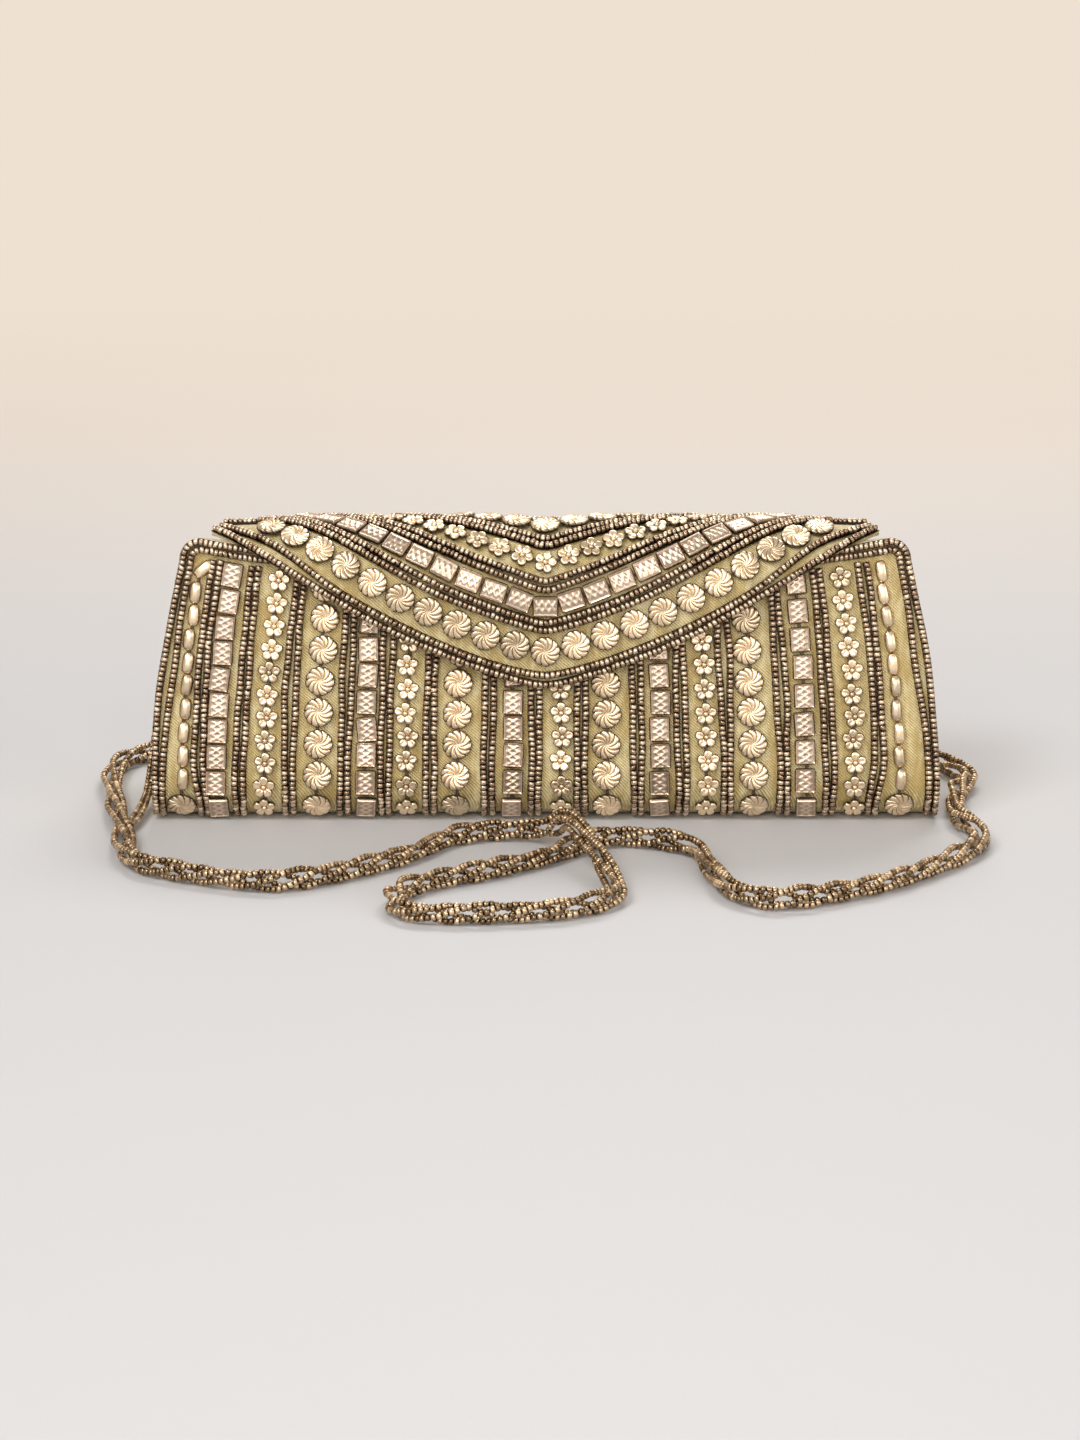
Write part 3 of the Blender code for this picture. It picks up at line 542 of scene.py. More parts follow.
def join_parts(parts):
    """One set of points, faces and attributes from several."""
    verts, by_size, start = [], {}, 0
    keys = {"relief": [], "tone": []}
    for points, faces, attributes in parts:
        verts.append(points)
        for block in faces:
            by_size.setdefault(block.shape[1], []).append(block + start)
        for key in keys:
            keys[key].append(attributes[key])
        start += len(points)
    faces = [np.concatenate(blocks) for blocks in by_size.values()]
    return np.concatenate(verts), faces, {key: np.concatenate(value) for key, value in keys.items()}


def satin_piece(name, node, outer, inner, swell, body="body"):
    """Satin-covered board between two grids."""
    verts, faces = slab(outer, inner, swell)
    finish_piece(name, verts, faces, satin_cloth(), body, [node])


def string_piece(name, node, paths, seed, body="body"):
    """Bead strings that stand for one node, each with its ribbon of painted shade."""
    radius = sizes().bead / 2
    parts = [bead_strings(paths, radius, sizes().bead_pitch, seed)]
    # Near-black ribbons of painted shade under the strings
    parts += [painted_shade_ribbon(path, radius) for path in paths]
    verts, faces, attributes = join_parts(parts)
    finish_piece(name, verts, faces, seed_metal(), body, [node], 60.0, attributes)


def ornament_piece(name, node, kind, parts, thread_name, thread, body):
    """Ornaments that stand for one node, and the thread that runs under them."""
    metal_of, slot = (rose_metal, "rose_gold") if kind == "square" else (gold_metal, "gold")
    verts, faces, attributes = join_parts(parts)
    finish_piece(name, verts, faces, metal_of(), body, [node], 60.0, attributes)
    verts, faces = plain_tube(thread, THREAD_RADIUS, 6)
    finish_piece(thread_name, verts, faces, thread_and_painted_shade(), body, [])


# Materials

class Value:
    """A number socket with arithmetic: each operator adds its Math node."""

    def __init__(self, shader, socket):
        self.shader = shader
        self.socket = socket

    def _math(self, kind, a, b):
        return self.shader.node("ShaderNodeMath", {"operation": kind}, {0: a, 1: b})

    def __add__(self, other):
        return self._math("ADD", self, other)

    __radd__ = __add__

    def __sub__(self, other):
        return self._math("SUBTRACT", self, other)

    def __mul__(self, other):
        return self._math("MULTIPLY", self, other)

    __rmul__ = __mul__

    def __pow__(self, other):
        return self._math("POWER", self, other)

    def clamp(self):
        return self.shader.node("ShaderNodeClamp", {}, {"Value": self})


class Shader:
    """Nodes of a material or a world, which all come from one method."""

    def __init__(self, owner):
        self.owner = owner
        owner.use_nodes = True
        self.tree = owner.node_tree
        self.bsdf = self.tree.nodes.get("Principled BSDF")

    def node(self, kind, settings, inputs, output=0):
        """Adds a node with its settings, joins or sets its inputs, and gives one of its outputs."""
        made = self.tree.nodes.new(kind)
        for key, value in settings.items():
            setattr(made, key, value)
        for key, value in inputs.items():
            if isinstance(value, Value):
                self.tree.links.new(value.socket, made.inputs[key])
            else:
                made.inputs[key].default_value = value
        return Value(self, made.outputs[output])

    def attribute(self, name):
        """A value kept with the mesh's points."""
        return self.node("ShaderNodeAttribute", {"attribute_name": name}, {}, "Fac")

    def place(self, scale):
        """Place on the object in metres, times scale."""
        coords = self.node("ShaderNodeTexCoord", {}, {}, "Object")
        return self.node("ShaderNodeMapping", {}, {"Vector": coords, "Scale": scale})

    def noise(self, scale, detail=2.0, rough=0.5, where=(1.0, 1.0, 1.0)):
        """Cloudy values from 0 to 1."""
        return self.node("ShaderNodeTexNoise", {}, {"Vector": self.place(where), "Scale": scale,
                                                   "Detail": detail, "Roughness": rough}, "Fac")

    def mix(self, share, a, b):
        """Colour between a and b."""
        made = self.tree.nodes.new("ShaderNodeMix")
        made.data_type = "RGBA"
        for index, value in ((0, share), (6, a), (7, b)):
            if isinstance(value, Value):
                self.tree.links.new(value.socket, made.inputs[index])
            elif index == 0:
                made.inputs[index].default_value = value
            else:
                made.inputs[index].default_value = (*value, 1.0)
        return Value(self, made.outputs[2])

    def bump(self, height, distance, strength=1.0):
        """Directions of a surface that height raises by distance."""
        return self.node("ShaderNodeBump", {},
                         {"Height": height, "Distance": distance, "Strength": strength})

    def seen(self):
        """1 for what the camera sees, straight, mirrored or through something clear; 0 for light."""
        kinds = [self.node("ShaderNodeLightPath", {}, {}, key)
                 for key in ("Is Camera Ray", "Is Glossy Ray", "Is Transmission Ray")]
        return (kinds[0] + kinds[1] + kinds[2]).clamp()

    def surface(self, share, first, second):
        """Mixes two surfaces into the output."""
        both = self.node("ShaderNodeMixShader", {}, {0: share, 1: first, 2: second})
        end = self.tree.nodes.get("Material Output") or self.tree.nodes.get("World Output")
        self.tree.links.new(both.socket, end.inputs["Surface"])

    def set(self, **inputs):
        """Joins or sets inputs of the main shader and gives the material."""
        for key, value in inputs.items():
            name = key.replace("_", " ")
            if isinstance(value, Value):
                self.tree.links.new(value.socket, self.bsdf.inputs[name])
            elif isinstance(value, (tuple, list)):
                self.bsdf.inputs[name].default_value = (*value, 1.0)
            else:
                self.bsdf.inputs[name].default_value = value
        return self.owner


def new_material(name):
    """Nodes of a new material."""
    return Shader(bpy.data.materials.new(name))


def times(share, colour_value):
    """A colour made darker or lighter, 1 at most."""
    return tuple(min(share * v, 1.0) for v in colour_value)


def once(make):
    """Keeps one material for each maker."""
    kept = {}

    def get():
        if "made" not in kept:
            kept["made"] = make()
        return kept["made"]
    return get


@once
def satin_cloth():
    """Olive gold satin: light streaks of painted sheen along the height, a fine weave and soft puckers.
    """
    c = colours()
    m = new_material("olive_satin")
    streak = m.noise(105.0, 3.0, 0.6, (1.0, 1.0, 0.30))
    fine = m.noise(420.0, 2.0, 0.5, (1.0, 1.0, 0.35))
    weave = m.node("ShaderNodeTexWave", {"wave_type": "BANDS", "bands_direction": "DIAGONAL"},
                   {"Vector": m.place((1.0, 1.0, 1.0)), "Scale": 520.0, "Distortion": 1.5}, "Fac")
    # Colour share: painted sheen streaks, with the fine weave and noise
    share = ((streak - 0.47) * 2.8 + (fine - 0.5) * 2.4 + (weave - 0.5) * 0.9 + 0.27).clamp()
    tint = m.mix(share, tuple(c.satin), tuple(c.satin_painted_sheen))
    rough = 0.36 + 0.16 * fine
    height = 0.6 * weave + 1.3 * fine + 1.6 * streak
    return m.set(Base_Color=tint, Roughness=rough, Normal=m.bump(height, 0.00030, 1.0),
                 Sheen_Weight=0.15, Sheen_Roughness=0.4, Specular_IOR_Level=0.6)


@once
def lining_cloth():
    """Brown lining cloth with a plain weave."""
    c = colours()
    m = new_material("brown_lining")
    fine = m.noise(700.0, 2.0)
    broad = m.noise(30.0, 2.0)
    tint = m.mix((0.2 + 0.6 * broad).clamp(), tuple(c.lining), times(1.7, c.lining))
    return m.set(Base_Color=tint, Roughness=0.62 + 0.1 * fine, Normal=m.bump(fine, 0.0001, 0.7))


@once
def piping_cloth():
    """Cream cloth cord with slanting threads."""
    c = colours()
    m = new_material("cream_piping")
    threads = m.node("ShaderNodeTexWave", {"wave_type": "BANDS", "bands_direction": "DIAGONAL"},
                     {"Vector": m.place((1.0, 1.0, 1.0)), "Scale": 420.0, "Distortion": 2.0}, "Fac")
    tint = m.mix(threads, times(0.8, c.piping), tuple(c.piping))
    return m.set(Base_Color=tint, Roughness=0.75, Normal=m.bump(threads, 0.00015, 0.7))


def metal(name, low, mid, high, rough, detail):
    """Plated metal with painted shade: dark in the hollows and low down its sides, bright on the ridges,
    its tone changing between pieces.
    """
    m = new_material(name)
    relief = m.attribute("relief")
    tone = m.attribute("tone")
    grain = m.noise(detail, 2.0, 0.6)
    # Painted shade mask: 0 in the hollows and low sides, 1 on the ridges
    hollow = (relief * 1.15 + (grain - 0.5) * 0.30).clamp()
    bright = m.mix((tone + (grain - 0.5) * 0.5).clamp(), mid, high)
    tint = m.mix(hollow, low, bright)
    return m.set(Base_Color=tint, Metallic=1.0, Roughness=rough + 0.14 * grain,
                 Normal=m.bump(grain, 0.00008, 0.5))


@once
def gold_metal():
    """Champagne gold of the discs, flowers and ovals."""
    gold = colours().gold
    # times(0.20, gold) is the painted shade in the hollows
    return metal("champagne_gold", times(0.20, gold), times(0.68, gold), times(1.06, gold), 0.24, 900.0)


@once
def rose_metal():
    """Rose gold of the squares."""
    rose = colours().rose
    # times(0.34, rose) is the painted shade in the hollows
    return metal("rose_gold", times(0.34, rose), times(0.72, rose), times(1.06, rose), 0.26, 1100.0)


def bead_metal(name, dark, light, rough):
    """Seed beads with painted shade: near black between the beads, each bead its own tone."""
    m = new_material(name)
    relief = m.attribute("relief")
    tone = m.attribute("tone")
    tint = m.mix((tone ** 1.2).clamp(), dark, light)
    # Painted shade: the narrow rings between beads go near black
    shaded = m.mix((relief * 2.0 - 0.65).clamp(), times(0.05, dark), tint)
    return m.set(Base_Color=shaded, Metallic=0.92, Roughness=rough + 0.16 * tone)


@once
def seed_metal():
    """Seed beads of the bag."""
    c = colours()
    return bead_metal("antique_seed_beads", tuple(c.seed_dark), tuple(c.seed_light), 0.22)


@once
def strap_metal():
    """Seed beads of the strap."""
    c = colours()
    return bead_metal("strap_seed_beads", tuple(c.strap_dark), tuple(c.strap_light), 0.17)


@once
def thread_and_painted_shade():
    """Dark thread under the ornaments, thick and near black so that it also paints the shade between
    them.
    """
    m = new_material("thread_with_painted_shade")
    fibre = m.noise(1500.0, 2.0)
    dark = tuple(colours().thread)
    return m.set(Base_Color=m.mix(fibre, dark, times(2.0, dark)), Roughness=0.8)


@once
def plain_steel():
    """Brushed steel of the magnets."""
    m = new_material("magnet_steel")
    grain = m.noise(600.0, 3.0, 0.6, (1.0, 0.2, 1.0))
    tint = m.mix(grain, (0.42, 0.42, 0.43), (0.58, 0.58, 0.59))
    return m.set(Base_Color=tint, Metallic=1.0, Roughness=0.28 + 0.15 * grain)


# Boards covered in satin

def corner_cut(s, top, reach, fall):
    """How far a panel's side stands in near its top: a quarter ellipse, reach wide and fall high."""
    share = np.clip((s - (top - fall)) / fall, 0.0, 1.0)
    return reach * (1 - np.sqrt(1 - share * share))


def mouth_line(x):
    """Place up the wall of the front panel's upper edge, which rises with the fourth power of x."""
    return MOUTH_LENGTH + CORNER_RISE * (np.abs(x) / MOUTH_REACH) ** 4


def front_half(s):
    """Half the front panel's width at a place up the wall, before its corner."""
    return half_width(wall(s, 0.0)[1]) - PANEL_NARROWING * smooth_step(s, 0.050, MOUTH_LENGTH)


def wall_grid(side, rise, corner, across, up, out, seed):
    """Grid over a leaning wall, front (-1) or back (1), with rounded corners and soft puckers."""
    u = np.linspace(-1, 1, across)[None, :]
    t = np.linspace(0, 1, up)[:, None]
    t = 1 - (1 - t) ** 1.5
    top = MOUTH_LENGTH + rise * np.abs(u) ** 4
    s = t * top
    half = front_half(s) - corner_cut(s, top, *corner)
    pucker = 0.00012 * waves(u * HALF_BASE * 3.0, s, seed) * smooth_step(1 - np.abs(u), 0, 0.05)
    y, z = wall(s, out + pucker)
    y = y if side < 0 else 2 * CENTRE_SHIFT - y
    return np.stack(np.broadcast_arrays(u * half, y, z), -1)


def make_front_cover():
    """Front board: the wall, with its upper edge rising to the corners."""
    outer = wall_grid(-1, CORNER_RISE, FRONT_CORNER, 120, 48, -SKIN_INSET, 3)
    inner = wall_grid(-1, CORNER_RISE, FRONT_CORNER, 120, 48, -BOARD, 4)
    satin_piece("front_cover", "front_panel", outer, inner, 0.0002)


def make_back_cover():
    """Back board: the same wall the other way round, with a level upper edge."""
    outer = wall_grid(1, 0.0, BACK_CORNER, 110, 44, -SKIN_INSET, 5)
    inner = wall_grid(1, 0.0, BACK_CORNER, 110, 44, -BOARD, 6)
    satin_piece("back_cover", "back_panel", outer, inner, 0.0002)


def make_base_cover():
    """Base board: flat, its underside turned up a little at the edges."""
    reach = HALF_DEPTH - EDGE_RADIUS - GAP
    wide = HALF_BASE - 0.0004
    x, y = np.meshgrid(np.linspace(-wide, wide, 80), np.linspace(-reach, reach, 16) + CENTRE_SHIFT)
    edge = np.maximum(np.abs(x) / wide, np.abs(y - CENTRE_SHIFT) / reach)
    low = 0.00035 * smooth_step(edge, 0.93, 1.0)
    outer = np.stack([x, y, low], -1)
    inner = np.stack([x, y, np.full_like(x, BOARD)], -1)
    satin_piece("base_cover", "base_panel", outer, inner, 0.0001)


def inner_depth(z, extra):
    """Half depth of the room between the front and back boards at a height."""
    centre = HALF_DEPTH - EDGE_RADIUS
    inner = EDGE_RADIUS - BOARD
    drop = EDGE_RADIUS - z
    low = centre + np.sqrt(np.maximum(inner * inner - drop * drop, 0.0))
    y, level = wall(np.array(ARC_LENGTH), -BOARD)
    high = -(y - CENTRE_SHIFT) - (z - level) * math.tan(LEAN)
    return np.where(z < EDGE_RADIUS + inner * math.sin(LEAN), low, high) - extra


def end_drop(y):
    """How much lower the ends' upper edge lies towards the back, where the gusset folds in."""
    return 0.0050 + 0.0032 * smooth_step(y - CENTRE_SHIFT, -0.0150, 0.0130)


def make_end_cover(name, node, side):
    """Gusset: an end board with a soft crease down its middle; its top slopes to the back."""
    v = np.linspace(-1, 1, 30)[None, :]
    mouth_y = v * float(inner_depth(MOUTH_HEIGHT, INNER_GAP)) + CENTRE_SHIFT
    top = MOUTH_HEIGHT - 0.0010 - end_drop(mouth_y)
    z = 0.0040 + (top - 0.0040) * np.linspace(0, 1, 48)[:, None]
    deep = inner_depth(z, INNER_GAP)
    crease = 0.0007 * np.exp(-(v / 0.10) ** 2) * smooth_step(z, 0.02, 0.08)
    soft = 0.00012 * waves(v * 0.03, z, 21)
    fall = 0.0004 * smooth_step(np.abs(v), 0.9, 1.0)
    x1 = half_width(z) - END_INSET - crease - fall + soft - SKIN_INSET
    x0 = half_width(z) - END_INSET - END_BOARD + 0 * v
    y = v * deep + CENTRE_SHIFT
    outer = np.stack(np.broadcast_arrays(side * x1, y, z), -1)
    inner = np.stack(np.broadcast_arrays(side * x0, y, z), -1)
    satin_piece(name, node, outer, inner, 0.0001)


def make_lining():
    """Open bag of lining cloth: rounded rings up the outside, over the edge and down to its floor."""
    z = np.linspace(LINING_FOOT, MOUTH_HEIGHT - 0.0014, 34)
    angle = np.linspace(0, 2 * math.pi, 180, endpoint=False)[None, :]

    def rings(level, inset):
        """Superellipses of power 20 at levels, with soft folds."""
        level = np.asarray(level)[:, None]
        wide = half_width(level) - END_INSET - END_BOARD - INNER_GAP - inset
        deep = inner_depth(level, INNER_GAP + inset)
        power = 0.10
        cos, sin = np.cos(angle), np.sin(angle)
        x = wide * np.sign(cos) * np.abs(cos) ** power
        y = deep * np.sign(sin) * np.abs(sin) ** power
        fold = 0.00025 * np.abs(waves(angle * 0.05, level, 31))
        share = (level - z[0]) / (z[-1] - z[0])
        drop = end_drop(y + CENTRE_SHIFT) * smooth_step(np.abs(x), 0.096, 0.118) * share
        return np.stack(np.broadcast_arrays(x * (1 - 3 * fold), y - np.sign(y) * fold + CENTRE_SHIFT,
                                            level - drop), -1)
    outside = rings(z, 0.0)
    floor = LINING_FOOT + LINING_SKIN
    inside = rings(np.append(z[::-1][:-1], floor), LINING_SKIN)
    verts, faces = capped(np.concatenate([outside, inside]), (0.0, CENTRE_SHIFT, z[0]),
                          (0.0, CENTRE_SHIFT, floor))
    finish_piece("lining_bag", verts, faces, lining_cloth(), "body", ["lining"])


def round_path(points, step):
    """Even points on a Catmull-Rom curve through a list of points."""
    pts = np.asarray(points, float)
    ext = np.vstack([2 * pts[0] - pts[1], pts, 2 * pts[-1] - pts[-2]])
    a, b, c, d = ext[:-3], ext[1:-2], ext[2:-1], ext[3:]
    t = (np.arange(12) / 12)[None, :, None]
    a, b, c, d = (v[:, None, :] for v in (a, b, c, d))
    curve = 0.5 * (2 * b + (c - a) * t + (2 * a - 5 * b + 4 * c - d) * t ** 2
                   + (3 * b - a - 3 * c + d) * t ** 3)
    fine = np.concatenate([curve.reshape(-1, 3), pts[-1:]])
    run = np.concatenate([[0.0], np.cumsum(np.linalg.norm(np.diff(fine, axis=0), axis=1))])
    even = np.linspace(0, run[-1], max(int(run[-1] / step), 8))
    return np.stack([np.interp(even, run, fine[:, k]) for k in range(3)], -1)


def plain_tube(points, radius, segs=10):
    """Round tube along a path."""
    ahead = unit(np.gradient(points, axis=0))
    up = unit(np.cross(ahead, np.array([0.37, 0.91, 0.19])))
    side = np.cross(ahead, up)
    angle = np.linspace(0, 2 * math.pi, segs, endpoint=False)
    ring = points[:, None, :] + radius * (np.cos(angle)[None, :, None] * side[:, None, :]
                                          + np.sin(angle)[None, :, None] * up[:, None, :])
    sides, first, last = tube_faces(len(points), segs, 0)
    return ring.reshape(-1, 3), [sides, np.concatenate([first, last])]


def make_piping():
    """Cloth cord along the mouth: over the gussets, round the front corners and along the front edge."""
    x = float(half_width(MOUTH_HEIGHT)) - END_INSET - END_BOARD / 2
    right = [(x, y + CENTRE_SHIFT, MOUTH_HEIGHT + 0.0003 - float(end_drop(y + CENTRE_SHIFT)))
             for y in (0.0115, 0.0040, -0.0040, -0.0105)]
    top = MOUTH_LENGTH + CORNER_RISE
    straight = float(front_half(np.array(top))) - FRONT_CORNER[0]
    border = [(straight + FRONT_CORNER[0] * math.cos(a), top - FRONT_CORNER[1] * (1 - math.sin(a)))
              for a in (0.15, 0.75, 1.2)]
    border += [(straight * u, MOUTH_LENGTH + CORNER_RISE * u ** 4)
               for u in (0.97, 0.90, 0.75, 0.5, 0.25, 0.0)]
    for px, s in border:
        y, z = wall(np.array(s + 0.0003), -BOARD / 2)
        right.append((px - 0.0004 if px > straight else px, float(y), float(z)))
    left = [(-px, py, pz) for px, py, pz in reversed(right[:-1])]
    verts, faces = plain_tube(round_path(right + left, 0.0015), 0.0009)
    finish_piece("mouth_cord", verts, faces, piping_cloth(), "body", ["mouth_piping"])


def make_tab(name, node, side):
    """Cloth-covered block, a superellipsoid of low power, with a groove round it where it is sewn."""
    s = MOUTH_LENGTH - TAB_DROP
    y, z = wall(np.array(s), GAP + TAB[1] / 2)
    centre = np.array([side * (HALF_BASE - TAB_INSET), 2 * CENTRE_SHIFT - float(y), float(z)])
    lat = np.linspace(-math.pi / 2, math.pi / 2, 26)[1:-1, None]
    lon = np.linspace(0, 2 * math.pi, 48, endpoint=False)[None, :]
    power = 0.28

    def bulge(v):
        """Power that keeps its sign."""
        return np.sign(v) * np.abs(v) ** power
    a = bulge(np.cos(lat)) * bulge(np.cos(lon)) * TAB[0] / 2
    b = bulge(np.cos(lat)) * bulge(np.sin(lon)) * TAB[1] / 2
    c = bulge(np.sin(lat)) * TAB[2] / 2 + 0 * lon
    groove = 1 - 0.035 * np.exp(-((c - 0.0032) / 0.0004) ** 2)
    a, b = a * groove, b * groove
    cos, sin = math.cos(LEAN), math.sin(LEAN)
    pts = np.stack([a, b * cos - c * sin, b * sin + c * cos], -1)
    verts, faces = capped(pts, pts[0].mean(axis=0), pts[-1].mean(axis=0))
    finish_piece(name, verts + centre, faces, satin_cloth(), "body", [node])


# Flap cloth

def flap_grid(trim_x, first, last, across, down, out, seed):
    """Grid over the flap between two shares of the way from the hinge to its edge."""
    x = np.linspace(-1, 1, across)[None, :] * (FLAP_HALF - 0.0004) * trim_x
    start = -BACK_LENGTH + 0.0003
    t = np.linspace(first, last, down)[:, None]
    s = start + (edge_line(x) - 0.0005 - start) * t
    pucker = 0.00008 * waves(x * 3.0, s, seed)
    return flap_point(x, s, out + pucker)


def make_flap_shell():
    """Satin outside of the flap."""
    outer = flap_grid(1.0, 0.0, 1.0, 150, 60, -SKIN_INSET, 11)
    inner = flap_grid(1.0, 0.0, 1.0, 150, 60, -FLAP_SKIN + SKIN_INSET, 12)
    satin_piece("flap_cover", "flap_shell", outer, inner, 0.0002, "flap")


def make_flap_lining():
    """Lining inside the flap, smaller all round."""
    out = -FLAP_SKIN - GAP
    outer = flap_grid(0.965, 0.1, 0.9, 110, 44, out, 13)
    inner = flap_grid(0.965, 0.1, 0.9, 110, 44, out - FLAP_LINING + SKIN_INSET, 14)
    verts, faces = slab(outer, inner, 0.0001)
    finish_piece("flap_lining_cloth", verts, faces, lining_cloth(), "flap", ["flap_lining"])


# Upright strings on the front

def column_points(x_ref, s, out, sway=0.0):
    """Points of an upright string and the way off the cloth; strings fan with the bag's taper."""
    y, z = wall(s, out)
    y0, z0 = wall(s, out + 0.001)
    x = x_ref * half_width(z) / half_width(np.array(COLUMN_REFERENCE)) + sway
    up = unit(np.stack([np.zeros_like(y), y0 - y, z0 - z], -1))
    return np.stack([np.broadcast_to(x, y.shape), y, z], -1), up


def size_of(kind):
    """Length of one ornament along its string, and the step from one to the next."""
    z = sizes()
    return {"disc": (z.disc, z.disc_pitch), "square": (z.square_long, z.square_pitch),
            "flower": (z.flower, z.flower_pitch), "oval": (z.oval_long, z.oval_pitch)}[kind]


def shape_of(kind):
    """Shape of one ornament."""
    z = sizes()
    if kind == "disc":
        return disc_shape(z.disc, z.relief)
    if kind == "square":
        return square_shape(z.square_long, z.square_wide, z.relief * 0.95)
    if kind == "flower":
        return flower_shape(z.flower, z.relief)
    return oval_shape(z.oval_long, z.oval_wide, z.relief)


def place_on_wall(x_ref, s, lift, sway=0.0):
    """Place of ornaments on the wall, the way along their string and the way off the cloth."""
    at, up = column_points(x_ref, s, lift, sway)
    after, before = column_points(x_ref, s + 0.0005, lift)[0], column_points(x_ref, s - 0.0005, lift)[0]
    return at, unit(after - before), up


def make_column(index):
    """One upright string of ornaments with its thread, going on as plain seed beads under the flap."""
    kind = KINDS[index]
    x_ref = COLUMN_PLACES[index]
    length, pitch = size_of(kind)
    end = float(mouth_line(x_ref)) - TOP_MARGIN
    cover = float(flap_point(x_ref, max(float(edge_line(x_ref)), 0.0), 0.0)[2]) + UNDER_FLAP
    s = COLUMN_START + length / 2
    parts = []
    if kind == "oval":
        low = np.array([COLUMN_START + sizes().disc / 2])
        parts.append(stamp(shape_of("disc"), *place_on_wall(x_ref, low, GAP), 400 + index))
        s = COLUMN_START + sizes().disc + length / 2 + 0.0004
    last = end - length / 2
    count = int((last - s) / pitch + 0.5) + 1
    places = s + (last - s) / (count - 1) * np.arange(count)
    if float(wall(np.array(end), 0.0)[1]) > cover:
        places = s + pitch * np.arange(count)
        places = places[wall(places, 0.0)[1] < cover]
    rng = np.random.default_rng(500 + index)
    places = places + rng.normal(0, 0.00012, len(places))
    lift = GAP + np.where(places < ARC_LENGTH + length, 0.00035, 0.0)
    sway = rng.normal(0, 0.00022, len(places)) + 0.0004 * np.sin(places * 45.0 + index * 1.7)
    lean = np.zeros(len(places))
    if index == 0:
        sway[-1], lean[-1] = 0.0011, -0.75
    parts.append(stamp(shape_of(kind), *place_on_wall(x_ref, places, lift, sway), 600 + index, 0.04,
                       lean))
    number = "{:02d}".format(index + 1)
    thread, _ = column_points(x_ref, np.linspace(COLUMN_START + 0.002, places[-1], 60), THREAD_LIFT)
    ornament_piece("ornaments_" + number + "_" + kind, "column_" + number + "_" + kind, kind, parts,
                   "thread_" + number, thread, "body")
    top = places[-1] + length / 2
    end = MOUTH_LENGTH - TOP_MARGIN
    if top < end - 0.004:
        path = column_points(x_ref, np.linspace(top, end, 80), GAP + 0.0008)
        verts, faces, attributes = bead_strings([path], HIDDEN_RADIUS, sizes().bead_pitch, 700 + index,
                                                segs=6)
        finish_piece("hidden_string_" + number, verts, faces, seed_metal(), "body", [], 60.0,
                     attributes)


def string_pair(x_ref, spacing, seed, bend=0.0):
    """Two strings side by side, each swaying a little and both opening at one place; bend moves their
    lower ends sideways."""
    rng = np.random.default_rng(seed)
    end = float(mouth_line(x_ref)) - TOP_MARGIN
    s = np.linspace(COLUMN_START, end, 160)
    out = GAP + sizes().bead / 2
    opening = rng.uniform(0.0, 0.0006) * np.exp(-((s - rng.uniform(0.030, 0.085)) / 0.014) ** 2)
    paths = []
    for way in (-1, 1):
        sway = (0.00022 * np.sin(s * rng.uniform(60, 130) + rng.uniform(0, 6.28))
                + 0.00012 * np.sin(s * rng.uniform(180, 320) + rng.uniform(0, 6.28)))
        aside = bend * (1 - smooth_step(s, COLUMN_START + 0.004, COLUMN_START + 0.022))
        paths.append(column_points(x_ref, s, out, way * (spacing / 2 + opening) + sway + aside))
    return paths


def make_pair(index):
    """Pair of bead strings between two ornament strings."""
    x_ref = (COLUMN_PLACES[index] + COLUMN_PLACES[index + 1]) / 2
    x_ref += PAIR_SHIFT[KINDS[index]] - PAIR_SHIFT[KINDS[index + 1]]
    paths = string_pair(x_ref, PAIR_SPACING, 800 + index, PAIR_BEND.get(index, 0.0))
    number = "{:02d}".format(index + 1)
    string_piece("beads_" + number, "seed_pair_" + number, paths, 820 + index)


def border_points(x, s):
    """Points of a string that lies on the front wall at x and s, and the way off the cloth."""
    y, z = wall(s, GAP + sizes().bead / 2)
    y0, z0 = wall(s, GAP + sizes().bead / 2 + 0.001)
    return np.stack([x, y, z], -1), unit(np.stack([0 * y, y0 - y, z0 - z], -1))


def make_edge_pair(name, node, side):
    """Two strings up the panel's side edge, to its corner; the inner one bows inwards half way."""
    rng = np.random.default_rng(850 + side)
    s = np.linspace(COLUMN_START, MOUTH_LENGTH + CORNER_RISE - FRONT_CORNER[1], 160)
    paths = []
    for inset in SIDE_INSETS:
        sway = 0.00018 * np.sin(s * rng.uniform(80, 150) + rng.uniform(0, 6.28))
        sway = sway * smooth_step(0.088 - s, 0, 0.01)
        away = EDGE_OPENING * (inset > 0.002) * np.exp(-((s - 0.062) / 0.017) ** 2)
        paths.append(border_points(side * (front_half(s) - inset - away + sway), s))
    string_piece(name, node, paths, 860 + side)


def make_mouth_strings():
    """Two strings that go on from the edge strings: round a corner, along the mouth, round the other."""
    paths = []
    top = MOUTH_LENGTH + CORNER_RISE
    start = top - FRONT_CORNER[1]
    for side_inset, inset in zip(SIDE_INSETS, TOP_INSETS):
        turn = np.linspace(0.0, math.pi / 2, 24)
        centre = float(front_half(np.array(start))) - FRONT_CORNER[0]
        arc_x = centre + (FRONT_CORNER[0] - side_inset) * np.cos(turn)
        arc_s = start + (FRONT_CORNER[1] - inset) * np.sin(turn)
        u = np.linspace(centre, 0.0, 120)[1:]
        line_s = MOUTH_LENGTH + CORNER_RISE * (u / centre) ** 4 - inset
        x = np.concatenate([arc_x, u])
        s = np.concatenate([arc_s, line_s])
        x = np.concatenate([-x, x[::-1][1:]])
        s = np.concatenate([s, s[::-1][1:]])
        s = s + 0.00010 * np.sin(x * 240 + inset * 900)
        paths.append(border_points(x, s))
    string_piece("mouth_beads", "mouth_strings", paths, 870)


# Rows on the flap

